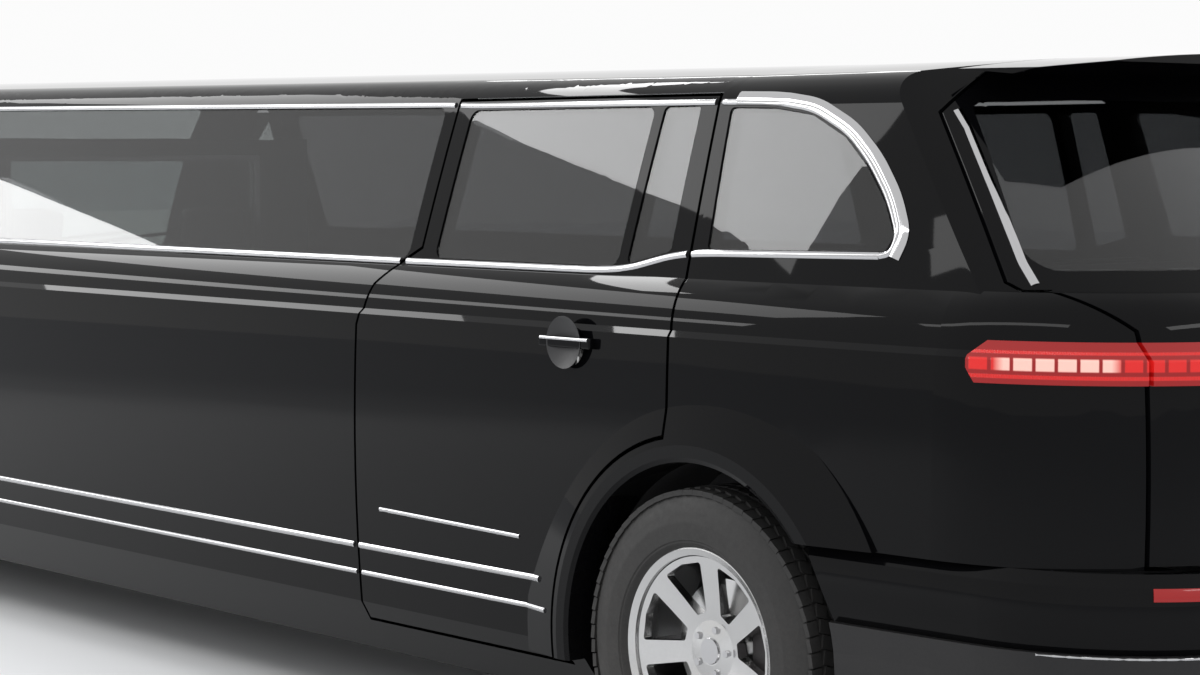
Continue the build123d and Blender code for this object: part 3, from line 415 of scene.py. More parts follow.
paintedPanels = ["body_side_left", "body_side_right", "front_wing_left", "front_wing_right", "front_door_left",
                 "front_door_right", "rear_door_left", "rear_door_right", "roof_panel", "nose_panel", "bonnet",
                 "tailgate"]
nodeFinishes = [
    (blackPaint, paintedPanels + ["front_bumper", "rear_bumper"]),
    (privacyGlass, ["side_glasses", "quarter_glasses", "rear_door_glass_left", "rear_door_glass_right",
                    "tailgate_glass"]),
    (clearGlass, ["front_door_glass_left", "front_door_glass_right", "windscreen"]),
    (brightTrim, ["grille"]), (headLampFace, ["headlamps"]), (lampRed, ["tail_lamps", "tailgate_lamp"]),
    (satinBlack, ["rear_cladding"]), (mouldedBlack, ["cowl", "fuel_tank"]), (underCoat, ["floor_pan", "wheel_houses"]),
    (castIron, ["rear_axle", "knuckle_left", "knuckle_right", "engine_block"]),
    (forgedSteel, ["front_suspension", "exhaust"]), (dashSkin, ["dashboard"]),
    (seatHide, ["steering_wheel", "partition"]), (panelWood, ["bar_cabinet"]),
    (alloyFinish, ["rim_rear_left", "rim_rear_right", "rim_front_left", "rim_front_right"]),
]
for material, names in nodeFinishes:
    for name in names:
        for slot in nodes[name].material_slots:
            slot.material = material
print("materials placed on", sum(len(names) for material, names in nodeFinishes), "nodes")


# surfaces as rays find them, with the node that owns each face
def gatherFaces(names):
    points, faces, owners = [], [], []
    for name in names:
        base = len(points)
        points.extend(nodes[name].matrix_world @ vert.co for vert in nodes[name].data.vertices)
        for face in nodes[name].data.polygons:
            faces.append([base + index for index in face.vertices])
            owners.append(name)
    return BVHTree.FromPolygons(points, faces), owners


skinTree, skinOwners = gatherFaces(paintedPanels + [
    "front_bumper", "rear_bumper", "rear_cladding", "side_glasses", "quarter_glasses", "front_door_glass_left",
    "front_door_glass_right", "rear_door_glass_left", "rear_door_glass_right", "tailgate_glass", "tail_lamps",
    "tailgate_lamp"])
rays = {"sideStart": 1.3, "sideReach": 0.62, "endStart": 4.6, "endReach": 1.4}


def castRay(start, toward, reach):
    # place, normal and body where a ray meets the skin
    place, normal, index, distance = skinTree.ray_cast(Vector(start), Vector(toward), reach)
    return None if place is None else (place, normal, nodes[skinOwners[index]]["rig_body"])


def touchSide(x, z, side):
    return castRay((x, side * rays["sideStart"], z), (0, -side, 0), rays["sideReach"])


def touchRear(y, z):
    return castRay((-rays["endStart"], y, z), (1, 0, 0), rays["endReach"])


def touchFront(y, z):
    return castRay((rays["endStart"], y, z), (-1, 0, 0), rays["endReach"])


def dense(points, step):
    path = []
    for start, end in zip(points, points[1:]):
        start, end = Vector(start), Vector(end)
        count = max(1, int((end - start).length / step))
        path.extend(start.lerp(end, i / count) for i in range(count))
    path.append(Vector(points[-1]))
    return path


def rounded(points, radius, steps=6):
    # a path with its inner corners turned into arcs
    path = [Vector(points[0])]
    for before, corner, after in zip(points, points[1:], points[2:]):
        before, corner, after = Vector(before), Vector(corner), Vector(after)
        arm = min(radius, (before - corner).length / 2, (after - corner).length / 2)
        start = corner + (before - corner).normalized() * arm
        end = corner + (after - corner).normalized() * arm
        for i in range(steps + 1):
            t = i / steps
            path.append(start * (1 - t) ** 2 + corner * 2 * t * (1 - t) + end * t * t)
    path.append(Vector(points[-1]))
    return path


def finishTree(tree, geometry, material, end):
    real = addNode(tree, "GeometryNodeRealizeInstances", {0: geometry})
    paint = addNode(tree, "GeometryNodeSetMaterial", {"Geometry": real.outputs[0], "Material": material})
    fillInputs(tree, end, {"Geometry": paint.outputs[0]})


# moulding: an oval bar swept along a path that lies on the body surface
def makeMouldingTree():
    tree, start, end = newGroup("mouldingSweep", [
        ("Geometry", "Geometry", None), ("Width", "Float", None),
        ("Height", "Float", None), ("Material", "Material", None),
    ], [("Geometry", "Geometry")], "GeometryNodeTree")
    curve = addNode(tree, "GeometryNodeMeshToCurve", {0: start["Geometry"]})
    facing = addNode(tree, "GeometryNodeInputNamedAttribute", {"Name": "skinNormal"}, data_type="FLOAT_VECTOR")
    lean = addNode(tree, "GeometryNodeSetCurveNormal",
                   {"Curve": curve.outputs[0], "Normal": facing.outputs["Attribute"]}, mode="FREE")
    swell = addNode(tree, "GeometryNodeInputNamedAttribute", {"Name": "swell"}, data_type="FLOAT")
    girth = addNode(tree, "GeometryNodeSetCurveRadius",
                    {"Curve": lean.outputs[0], "Radius": swell.outputs["Attribute"]})
    ring = addNode(tree, "GeometryNodeCurvePrimitiveCircle", {"Resolution": 10, "Radius": 0.5})
    size = addNode(tree, "ShaderNodeCombineXYZ", {"X": start["Height"], "Y": start["Width"], "Z": 1.0})
    shape = addNode(tree, "GeometryNodeTransform", {"Geometry": ring.outputs["Curve"], "Scale": size.outputs[0]})
    sweep = addNode(tree, "GeometryNodeCurveToMesh", {
        "Curve": girth.outputs[0], "Profile Curve": shape.outputs["Geometry"], "Fill Caps": True})
    finishTree(tree, sweep.outputs["Mesh"], start["Material"], end)
    return tree


mouldingSweep = makeMouldingTree()


def evaluateTree(base, tree, values):
    # runs a Geometry Nodes tree on the base object and keeps the plain mesh
    modifier = base.modifiers.new("make", "NODES")
    modifier.node_group = tree
    for item in tree.interface.items_tree:
        if item.in_out == "INPUT" and item.name in values:
            modifier[item.identifier] = values[item.name]
    base.update_tag()
    data = bpy.data.meshes.new_from_object(base.evaluated_get(bpy.context.evaluated_depsgraph_get()))
    bpy.data.objects.remove(base)
    return data


def sweepPiece(name, points, edges, normals, swells, girth, material, body):
    # girth is the bar's width along the skin and its height out of it
    path = bpy.data.meshes.new(name)
    path.from_pydata([tuple(p) for p in points], edges, [])
    path.attributes.new("skinNormal", "FLOAT_VECTOR", "POINT")
    path.attributes.new("swell", "FLOAT", "POINT")
    for i, (normal, swell) in enumerate(zip(normals, swells)):
        path.attributes["skinNormal"].data[i].vector = normal
        path.attributes["swell"].data[i].value = swell
    data = evaluateTree(newObject(name, path), mouldingSweep,
                        {"Width": girth[0], "Height": girth[1], "Material": material})
    work = bmesh.new()
    work.from_mesh(data)
    bmesh.ops.recalc_face_normals(work, faces=work.faces)
    work.to_mesh(data)
    work.free()
    data.name = name
    placeMesh(name, data, body, 40.0)


def layMoulding(name, touched, width, height, material, lift=0.0, taper=0.0):
    # touched holds samples of place, normal and body, or None; one piece per body, broken at the shut lines
    runs = {}
    current, body = [], None
    for sample in touched + [None]:
        if sample is None or sample[2] != body:
            if len(current) > 2:
                runs.setdefault(body, []).append(current)
            current, body = [], sample[2] if sample else None
        if sample:
            current.append(sample)
    for body, strips in runs.items():
        points, edges, normals, swells = [], [], [], []
        for strip in strips:
            base = len(points)
            points.extend(place + normal * lift for place, normal, owner in strip)
            normals.extend(normal for place, normal, owner in strip)
            edges.extend((base + i, base + i + 1) for i in range(len(strip) - 1))
            swells.extend(min(1.0, 0.4 + 0.6 * i / (taper * len(strip))) if taper else 1.0 for i in range(len(strip)))
        label = name if len(runs) == 1 else name + "_" + body
        sweepPiece(label, points, edges, normals, swells, (width, height), material, body)


mouldings = {
    "belt": {"path": [(1.968, 1.2196), (1.338, 1.2305), (-1.66, 1.2285), (-2.42, 1.2295), (-2.53, 1.2360),
                      (-2.69, 1.2730), (-2.80, 1.2790), (-3.318, 1.2865)],
             "width": 0.017, "height": 0.012, "round": 0.08},
    "drip": {"path": [(1.965, 1.2650), (1.415, 1.6560), (1.33, 1.6580), (1.19, 1.6590), (-1.67, 1.6330),
                      (-1.78, 1.6290), (-2.75, 1.6250), (-2.905, 1.6215), (-3.026, 1.6055), (-3.148, 1.5530),
                      (-3.235, 1.4860), (-3.312, 1.4060), (-3.357, 1.3330), (-3.348, 1.2920), (-3.318, 1.2865)],
             "width": 0.015, "height": 0.012, "round": 0.04},
    "quarterFrame": {"path": [(-2.772, 1.6335), (-2.908, 1.6305), (-3.034, 1.6140), (-3.160, 1.5600),
                              (-3.251, 1.4925), (-3.329, 1.4100), (-3.374, 1.3330), (-3.358, 1.2830)],
                     "width": 0.036, "height": 0.015, "round": 0.04, "taper": 0.35},
    "sillUpper": {"path": [(2.66, 0.480), (-2.300, 0.480)], "width": 0.016, "height": 0.012, "round": 0.0},
    "sillLower": {"path": [(2.68, 0.408), (-2.330, 0.408)], "width": 0.013, "height": 0.010, "round": 0.0},
    # a bright strip along the lower door crease where light glints on it: a painted highlight, not a trim part
    "doorStreak": {"path": [(-1.64, 0.585), (-2.22, 0.575)], "width": 0.010, "height": 0.006, "round": 0.0},
}
handleBars = {"rearDoor": (-2.410, 1.060), "frontDoor": (1.390, 1.060)}
handleStrip = {"halfLength": 0.088, "above": 0.009, "width": 0.008, "height": 0.005}
sides = ((1, "Left"), (-1, "Right"))
for side, sideName in sides:
    for label, sizes in mouldings.items():
        path = rounded(sizes["path"], sizes["round"]) if sizes["round"] else [Vector(p) for p in sizes["path"]]
        touched = [touchSide(p.x, p.y, side) for p in dense(path, 0.012)]
        layMoulding(label + "Moulding" + sideName, touched, sizes["width"], sizes["height"], brightTrim,
                    taper=sizes.get("taper", 0.0))
    # bright strip along the top of each handle bar
    for label, (x, z) in handleBars.items():
        touched = [touchSide(x + handleStrip["halfLength"] * (i / 12 - 1), z + handleStrip["above"], side)
                   for i in range(25)]
        layMoulding(label + "Handle" + sideName, touched, handleStrip["width"], handleStrip["height"], brightTrim)
print("mouldings laid")

# dark cups laid in the dishes behind the door handles as painted shade for the recess: two shells of a ball's cap,
# joined at the rim
handleShadeCup = {"middleY": 1.066, "radius": 0.1192, "thick": 0.0005, "reach": 31.6, "rings": 8, "segments": 40}


def makeShadeCup(name, x, z, side, body):
    work = bmesh.new()
    count = handleShadeCup["segments"]
    shells = []
    for radius in (handleShadeCup["radius"], handleShadeCup["radius"] + handleShadeCup["thick"]):
        rings = []
        for i in range(1, handleShadeCup["rings"] + 1):
            tilt = math.radians(handleShadeCup["reach"] * i / handleShadeCup["rings"])
            rings.append([work.verts.new((x + radius * math.sin(tilt) * math.cos(turn),
                                          side * (handleShadeCup["middleY"] - radius * math.cos(tilt)),
                                          z + radius * math.sin(tilt) * math.sin(turn)))
                          for turn in (2 * math.pi * k / count for k in range(count))])
        shells.append((work.verts.new((x, side * (handleShadeCup["middleY"] - radius), z)), rings))
    for middle, rings in shells:
        for k in range(count):
            after = (k + 1) % count
            work.faces.new((middle, rings[0][k], rings[0][after]))
            for near, far in zip(rings, rings[1:]):
                work.faces.new((near[k], far[k], far[after], near[after]))
    inner, outer = shells[0][1][-1], shells[1][1][-1]
    for k in range(count):
        after = (k + 1) % count
        work.faces.new((inner[k], outer[k], outer[after], inner[after]))
    finishPiece(name, work, mouldedBlack, body, 40.0)


for side, sideName in sides:
    for label, (x, z) in handleBars.items():
        makeShadeCup(label + "Cup" + sideName, x, z, side, label.replace("Door", "_door_") + sideName.lower())


# tyres: revolved carcass with grooves, and blocks cut across the tread by Geometry Nodes
tyre = {"halfWidth": 0.1225, "segments": 120, "floor": 0.3685, "blockCount": 68, "blockDepth": 0.012,
        "blockShare": 0.88}
wheelPlaces = {"rear_left": (-2.857, 1), "rear_right": (-2.857, -1), "front_left": (3.186, 1),
               "front_right": (3.186, -1)}
wheelMiddle = {"y": 0.8325, "z": 0.376}


def makeTreadTree():
    tree, start, end = newGroup("treadRow", [
        ("Geometry", "Geometry", None), ("Count", "Int", None),
        ("Radius", "Float", None), ("Block", "Vector", None), ("Skew", "Float", None),
        ("Along", "Float", None), ("Material", "Material", None),
    ], [("Geometry", "Geometry")], "GeometryNodeTree")
    circle = addNode(tree, "GeometryNodeMeshCircle", {"Vertices": start["Count"], "Radius": start["Radius"]})
    block = addNode(tree, "GeometryNodeMeshCube", {"Size": start["Block"]})
    tilt = addNode(tree, "ShaderNodeCombineXYZ", {"X": start["Skew"]})
    skewed = addNode(tree, "GeometryNodeTransform", {"Geometry": block.outputs["Mesh"], "Rotation": tilt.outputs[0]})
    place = addNode(tree, "GeometryNodeInputPosition")
    aim = addNode(tree, "FunctionNodeAlignRotationToVector", {"Vector": place.outputs[0]}, axis="X")
    copies = addNode(tree, "GeometryNodeInstanceOnPoints", {
        "Points": circle.outputs["Mesh"], "Instance": skewed.outputs["Geometry"], "Rotation": aim.outputs["Rotation"]})
    shift = addNode(tree, "ShaderNodeCombineXYZ", {"Z": start["Along"]})
    moved = addNode(tree, "GeometryNodeTransform",
                    {"Geometry": copies.outputs["Instances"], "Translation": shift.outputs[0]})
    finishTree(tree, moved.outputs["Geometry"], start["Material"], end)
    return tree


treadRow = makeTreadTree()
treadRows = [  # offset across the tread, block width, outer radius, skew
    (-0.093, 0.030, 0.3712, 0.10), (-0.058, 0.030, 0.3745, -0.30), (-0.020, 0.032, 0.3755, 0.30),
    (0.020, 0.032, 0.3755, 0.30), (0.058, 0.030, 0.3745, -0.30), (0.093, 0.030, 0.3712, 0.10),
]


def treadMesh():
    # blocks of one tyre round the origin, axis along Y
    whole = bmesh.new()
    for across, width, radius, skew in treadRows:
        seed = bpy.data.meshes.new("treadSeed")
        seed.from_pydata([(0, 0, 0)], [], [])
        length = 2 * math.pi * radius / tyre["blockCount"] * tyre["blockShare"]
        whole.from_mesh(evaluateTree(newObject("treadSeed", seed), treadRow, {
            "Count": tyre["blockCount"], "Radius": radius - tyre["blockDepth"] / 2,
            "Block": (tyre["blockDepth"], length, width), "Skew": skew, "Along": across, "Material": tyreRubber}))
    bmesh.ops.transform(whole, matrix=Matrix.Rotation(math.radians(90), 4, "X"), verts=whole.verts)
    return meshFrom("treadPart", whole)


def tyreProfile():
    h = tyre["halfWidth"]
    half = [(0.2310, 0.1000), (0.2436, 0.1100), (0.2480, h - 0.0060), (0.2520, h - 0.0035), (0.2560, h - 0.0035),
            (0.2585, h - 0.0010), (0.2760, h - 0.0002), (0.2950, h), (0.3000, h), (0.3040, h - 0.0012),
            (0.3190, h - 0.0030), (0.3240, h - 0.0046), (0.3400, h - 0.0090), (0.3540, h - 0.0180),
            (0.3640, h - 0.0225), (tyre["floor"] - 0.001, 0.075), (tyre["floor"], 0.0)]
    return half + [(r, -y) for r, y in reversed(half[:-1])]


def makeTyre(corner, x, side):
    work = bmesh.new()
    rings = []
    profile = tyreProfile()
    for i in range(tyre["segments"]):
        angle = 2 * math.pi * i / tyre["segments"]
        rings.append([work.verts.new((r * math.cos(angle), y, r * math.sin(angle))) for r, y in profile])
    for near, far in zip(rings, rings[1:] + rings[:1]):
        for j in range(len(profile)):
            k = (j + 1) % len(profile)
            work.faces.new((near[j], near[k], far[k], far[j]))
    work.from_mesh(treadMesh())
    if side < 0:
        bmesh.ops.scale(work, vec=(1, -1, 1), verts=work.verts)
    bmesh.ops.recalc_face_normals(work, faces=work.faces)
    bmesh.ops.translate(work, vec=(x, side * wheelMiddle["y"], wheelMiddle["z"]), verts=work.verts)
    finishPiece("tyre" + corner.title().replace("_", ""), work, tyreRubber, "wheel_" + corner,
                replaced=("tyre_" + corner,))


for corner, (x, side) in wheelPlaces.items():
    makeTyre(corner, x, side)
print("tyres made")

# five bolts and a plain cap on each rim
wheelTrim = {"boltCircle": 0.052, "boltRadius": 0.0085, "boltCount": 5, "boltLength": 0.018, "boltSeat": 0.010,
             "capRadius": 0.033, "capTaper": 0.004, "capLength": 0.008, "faceY": 0.062}
for corner, (x, side) in wheelPlaces.items():
    work = bmesh.new()
    faceY = wheelMiddle["y"] + wheelTrim["faceY"]
    for i in range(wheelTrim["boltCount"]):
        angle = 2 * math.pi * (i + 0.5) / wheelTrim["boltCount"]
        dx, dz = wheelTrim["boltCircle"] * math.cos(angle), wheelTrim["boltCircle"] * math.sin(angle)
        centre = Vector((x + dx, side * (faceY - wheelTrim["boltSeat"]), wheelMiddle["z"] + dz))
        addTube(work, centre, centre + Vector((0, side * wheelTrim["boltLength"], 0)), wheelTrim["boltRadius"], 6)
    hub = Vector((x, side * faceY, wheelMiddle["z"]))
    addTube(work, hub, hub + Vector((0, side * wheelTrim["capLength"], 0)), wheelTrim["capRadius"], 40,
            wheelTrim["capRadius"] - wheelTrim["capTaper"])
    bmesh.ops.recalc_face_normals(work, faces=work.faces)
    finishPiece("wheelTrim" + corner.title().replace("_", ""), work, brightTrim, "wheel_" + corner)
print("wheel trim made")

# seats: swelled hide pads on plain bases; each pad shape is simulated once and then placed
padShape = {"voxel": 0.009, "inset": 0.012, "cap": 0.020, "pressure": 4.0, "channelDepth": 0.009,
            "channelWidth": 0.010, "cornerShare": 0.26, "baseBevel": 0.006, "frames": 20}


def evaluatedMesh(item):
    return bpy.data.meshes.new_from_object(item.evaluated_get(bpy.context.evaluated_depsgraph_get()))


def simulatePad(key, size, channels):
    work = bmesh.new()
    inset = padShape["inset"]
    addBox(work, [-s / 2 + inset for s in size], [s / 2 - inset for s in size], min(size) * padShape["cornerShare"])
    pad = newObject(key, meshFrom(key, work))
    remesh = pad.modifiers.new("remesh", "REMESH")
    remesh.mode = "VOXEL"
    remesh.voxel_size = padShape["voxel"]
    pad.data = evaluatedMesh(pad)
    pad.modifiers.clear()
    start = [vert.co.copy() for vert in pad.data.vertices]
    end = start
    cloth = pad.modifiers.new("swell", "CLOTH")
    cloth.settings.use_pressure = True
    cloth.settings.uniform_pressure_force = padShape["pressure"]
    cloth.settings.effector_weights.gravity = 0
    cloth.settings.quality = 4
    cloth.collision_settings.use_collision = False
    cloth.point_cache.frame_start, cloth.point_cache.frame_end = 1, padShape["frames"]
    for step in range(1, padShape["frames"] + 1):
        scene.frame_set(step)
    end = [vert.co.copy() for vert in evaluatedMesh(pad).vertices]
    pad.modifiers.clear()
    scene.frame_set(1)
    half = [s / 2 for s in size]
    for vert, before, after in zip(pad.data.vertices, start, end):
        move = after - before
        if move.length > padShape["cap"]:
            move *= padShape["cap"] / move.length
        place = before + move
        # sewn channels across the top
        if place.z > 0:
            for line in channels:
                place.z -= padShape["channelDepth"] * math.exp(-((place.x - line) / padShape["channelWidth"]) ** 2)
        vert.co = [max(-h, min(h, value)) for h, value in zip(half, place)]
    data = pad.data
    bpy.data.objects.remove(pad)
    return data


piping = {"inset": 0.012, "corner": 0.05, "below": 0.030, "girth": (0.008, 0.008)}


def placePad(name, data, matrix, size, node):
    work = bmesh.new()
    work.from_mesh(data)
    bmesh.ops.smooth_vert(work, verts=work.verts, factor=0.4, use_axis_x=True, use_axis_y=True, use_axis_z=True)
    bmesh.ops.transform(work, matrix=matrix, verts=work.verts)
    piece = finishPiece(name, work, seatHide, "body", 180.0, (node,))
    # piping round the seam where the top panel meets the border
    half, corner = (size[0] / 2 - piping["inset"], size[1] / 2 - piping["inset"]), piping["corner"]
    ring = []
    for cx, cy, turn in ((1, 1, 0), (-1, 1, 90), (-1, -1, 180), (1, -1, 270)):
        for i in range(7):
            angle = math.radians(turn + 15 * i)
            ring.append(matrix @ Vector((cx * (half[0] - corner) + corner * math.cos(angle),
                                         cy * (half[1] - corner) + corner * math.sin(angle),
                                         size[2] / 2 - piping["below"])))
    ring.append(ring[0])
    upward = matrix.to_3x3() @ Vector((0, 0, 1))
    sweepPiece(name + "Piping", ring, [(i, i + 1) for i in range(len(ring) - 1)], [upward] * len(ring),
               [1.0] * len(ring), piping["girth"], seatHide, "body")


def turned(place, axis, degrees):
    return Matrix.Translation(place) @ Matrix.Rotation(math.radians(degrees), 4, axis)


frontSeat = {"x": 1.490, "y": (0.37, -0.37), "z": 0.540, "lean": -14.0, "ahead": -0.060}


def leaning(height):
    # places on the two front seats' leaning backs
    return [turned((frontSeat["x"], y, frontSeat["z"]), "Y", frontSeat["lean"])
            @ turned((frontSeat["ahead"], 0, height), "Y", 90) for y in frontSeat["y"]]


benchX = [-1.0625 + 0.575 * i for i in range(4)]
benchChannels = (-0.19, -0.095, 0.0, 0.095, 0.19)
seatPads = {
    "frontCushion": {"size": (0.510, 0.500, 0.120), "channels": (-0.12, -0.02, 0.08), "node": "front_seats",
                     "places": [turned((1.715, y, 0.480), "Z", 0) for y in frontSeat["y"]]},
    "frontBack": {"size": (0.650, 0.480, 0.120), "channels": (-0.16, -0.05, 0.06, 0.17), "node": "front_seats",
                  "places": leaning(0.322)},
    "headRest": {"size": (0.150, 0.270, 0.090), "channels": (), "node": "front_seats", "places": leaning(0.740)},
    "benchCushion": {"size": (0.575, 0.330, 0.120), "channels": benchChannels, "node": "side_seat",
                     "places": [turned((x, 0.495, 0.630), "Z", 0) for x in benchX]},
    "benchBack": {"size": (0.575, 0.440, 0.130), "channels": benchChannels, "node": "side_seat",
                  "places": [turned((x, 0.725, 0.910), "X", 90) for x in benchX]},
    "rearCushion": {"size": (0.590, 0.600, 0.160), "channels": (-0.14, 0.0, 0.14), "node": "rear_seat",
                    "places": [turned((-2.605, y, 0.680), "Z", 0) for y in (0.30, -0.30)]},
    "rearBack": {"size": (0.650, 0.600, 0.160), "channels": (-0.18, -0.06, 0.06, 0.18), "node": "rear_seat",
                 "places": [turned((-2.980, y, 0.925), "Y", 90) for y in (0.30, -0.30)]},
}
for label, pad in seatPads.items():
    data = simulatePad(label, pad["size"], pad["channels"])
    for number, place in enumerate(pad["places"]):
        placePad(label + str(number + 1), data, place, pad["size"], pad["node"])
    print("pad made:", label)

seatBases = {
    "frontSeatBases": ("front_seats", [((1.475, y - 0.225, 0.271), (1.925, y + 0.225, 0.418))
                                       for y in frontSeat["y"]]
                       + [((1.470, y + dy - 0.018, 0.271), (1.938, y + dy + 0.018, 0.296))
                          for y in frontSeat["y"] for dy in (-0.19, 0.19)]),
    "benchPlinth": ("side_seat", [((-1.348, 0.350, 0.271), (0.948, 0.760, 0.570)),
                                  ((-1.348, 0.330, 0.300), (0.948, 0.352, 0.560))]),
    "rearSeatPlinth": ("rear_seat", [((-2.900, -0.595, 0.6005), (-2.33, 0.595, 0.612)),
                                     ((-3.058, -0.590, 0.604), (-3.040, -0.006, 1.235)),
                                     ((-3.058, 0.006, 0.604), (-3.040, 0.590, 1.235))]),
}
for name, (node, boxes) in seatBases.items():
    boxPiece(name, [(low, high, padShape["baseBevel"]) for low, high in boxes], mouldedBlack, replaced=(node,))
print("seats made")

# cabin dressing: carpet, dash hood, vents and gauges
boxPiece("carpetPanel", [((-2.328, -0.764, 0.2702), (2.470, 0.764, 0.2745), 0.001)], cabinCarpet)
dash = {"vents": (-0.56, -0.07, 0.07, 0.56), "ventHalf": 0.065, "vaneHalf": 0.058, "vanes": 4, "faceX": 2.1495,
        "back": 0.004, "gauges": (0.31, 0.43), "gaugeZ": 0.995, "gaugeRadius": 0.045, "gaugeDepth": 0.002}


def dashBox(halfWidth, low, high, ahead, back, bevel, y=0.0):
    # box through the dashboard's face, by its half width and its heights
    return (dash["faceX"] - ahead, y - halfWidth, low), (dash["faceX"] + back, y + halfWidth, high), bevel


boxPiece("gaugeHood", [((2.140, 0.20, 1.035), (2.40, 0.54, 1.075), 0.018)], dashSkin, angle=35.0)
vents = []
for y in dash["vents"]:
    vents += [dashBox(dash["ventHalf"], z, z + 0.005, 0.006, dash["back"], 0.001, y) for z in (0.955, 1.005)]
    vents += [dashBox(dash["vaneHalf"], 0.967 + 0.010 * i, 0.969 + 0.010 * i, 0.004, dash["back"], 0.0006, y)
              for i in range(dash["vanes"])]
boxPiece("ventFrames", vents + [dashBox(0.66, 0.925, 0.931, 0.004, dash["back"], 0.001)], brightTrim)
boxPiece("dashPanel", [dashBox(0.15, 0.800, 0.915, 0.003, dash["back"], 0.003),
                       dashBox(0.66, 0.933, 0.950, 0.003, 0.003, 0.001)], glossBlack)
work = bmesh.new()
for y in dash["gauges"]:
    addTube(work, (dash["faceX"] - dash["gaugeDepth"], y, dash["gaugeZ"]),
            (dash["faceX"] + dash["gaugeDepth"], y, dash["gaugeZ"]), dash["gaugeRadius"], 32)
finishPiece("gaugeRings", work, brightTrim)

# bar: doors with pulls along the cabinet's face, a rail above them and a polished top
bar = {"start": -1.28, "doorWidth": 0.42, "gap": 0.018, "doorCount": 5, "faceY": -0.470, "doorThick": 0.0095,
       "doorZ": (0.310, 0.820), "pullSpan": (0.05, 0.035), "pullZ": (0.66, 0.76), "pullOut": 0.008,
       "railX": (-1.30, 0.90), "railThick": 0.016, "railZ": (0.868, 0.876)}
doors, pulls = [], []
for i in range(bar["doorCount"]):
    x = bar["start"] + i * (bar["doorWidth"] + bar["gap"])
    far = x + bar["doorWidth"]
    doors.append(((x, bar["faceY"] - bar["doorThick"], bar["doorZ"][0]), (far, bar["faceY"], bar["doorZ"][1]), 0.004))
    pulls.append(((far - bar["pullSpan"][0], bar["faceY"], bar["pullZ"][0]),
                  (far - bar["pullSpan"][1], bar["faceY"] + bar["pullOut"], bar["pullZ"][1]), 0.003))
rail = ((bar["railX"][0], bar["faceY"] - bar["railThick"], bar["railZ"][0]),
        (bar["railX"][1], bar["faceY"], bar["railZ"][1]), 0.002)
boxPiece("barDoors", doors, panelWood)
boxPiece("barHandles", pulls + [rail], brightTrim)
boxPiece("barTop", [((-1.305, -0.766, 0.9003), (0.905, -0.472, 0.918), 0.005)], glossBlack)

# partition: a frame of four bars round its glass
screenFrame = {"near": 1.140, "far": 1.190, "outer": 0.52, "inner": 0.50, "low": (1.060, 1.080),
               "high": (1.480, 1.500), "bevel": 0.004}
boxPiece("partitionFrame", [
    ((screenFrame["near"], low, bottom), (screenFrame["far"], high, top), screenFrame["bevel"])
    for low, high, bottom, top in (
        (-screenFrame["outer"], screenFrame["outer"], *screenFrame["low"]),
        (-screenFrame["outer"], screenFrame["outer"], *screenFrame["high"]),
        (-screenFrame["outer"], -screenFrame["inner"], screenFrame["low"][1], screenFrame["high"][0]),
        (screenFrame["inner"], screenFrame["outer"], screenFrame["low"][1], screenFrame["high"][0]))],
    brightTrim)
boxPiece("partitionGlass", [((1.162, -0.499, 1.081), (1.167, 0.499, 1.479), 0.001)], clearGlass)
print("cabin dressed")

# wipers: pivot, arm and blade with three holders, laid where rays meet the windscreen
wiper = {"pairs": ((0.45, -0.12), (-0.15, -0.62)), "pivotZ": 1.175, "tipZ": 1.215, "blade": 0.50, "lift": 0.016,
         "aside": 0.02, "holders": (0.15, 0.5, 0.85)}


def addWiper(work, pivot, tip, normal):
    lift = normal * wiper["lift"]
    addTube(work, pivot - normal * 0.012, pivot + normal * 0.020, 0.011, 16)
    along = (tip - pivot).normalized()
    across = normal.cross(along).normalized()
    addTube(work, pivot + lift, tip + lift * 0.6, 0.0055, 10, 0.0035)
    half = wiper["blade"] / 2
    start = tip - along * half * 0.9 + across * wiper["aside"]
    end = tip + along * half * 0.5 + across * wiper["aside"]
    addTube(work, start + lift * 0.5, end + lift * 0.5, 0.004, 8)
    for t in wiper["holders"]:
        place = start.lerp(end, t)
        addTube(work, place + lift * 0.2, place + lift * 0.7, 0.003, 8)


windscreenTree = gatherFaces(["windscreen"])[0]
work = bmesh.new()
for pivotY, tipY in wiper["pairs"]:
    (pivot, normal), (tip, normal) = [windscreenTree.ray_cast(Vector((4.0, y, z)), Vector((-1, 0, 0)))[:2]
                                      for y, z in ((pivotY, wiper["pivotZ"]), (tipY, wiper["tipZ"]))]
    addWiper(work, pivot, tip, (normal if normal.x >= 0 else -normal).normalized())
finishPiece("screenWipers", work, satinBlack)

reflector = {"z": 0.626, "width": 0.028, "height": 0.008, "inner": 0.56, "length": 0.18}
claddingStrip = {"z": 0.498, "inner": 0.02, "length": 0.86, "width": 0.007, "height": 0.005, "lift": -0.002}
for side, sideName in sides:
    touched = [touchRear(side * (reflector["inner"] + reflector["length"] * i / 16), reflector["z"])
               for i in range(17)]
    layMoulding("reflector" + sideName, touched, reflector["width"], reflector["height"], lampRed)
    # bright line along the top of the lower cladding
    touched = [touchRear(side * (claddingStrip["inner"] + claddingStrip["length"] * i / 60), claddingStrip["z"])
               for i in range(61)]
    layMoulding("claddingLine" + sideName, touched, claddingStrip["width"], claddingStrip["height"], brightTrim,
                lift=claddingStrip["lift"])
print("wipers and reflectors made")

mirror = {"x": 1.9865, "y": 1.011, "z": 1.290, "halfThick": 0.0015, "halfWidth": 0.084, "halfHeight": 0.049}
for side, sideName in sides:
    middle = Vector((mirror["x"], side * mirror["y"], mirror["z"]))
    half = Vector((mirror["halfThick"], mirror["halfWidth"], mirror["halfHeight"]))
    boxPiece("mirrorGlass" + sideName, [(middle - half, middle + half, 0.001)], mirrorFace,
             "front_door_" + sideName.lower())


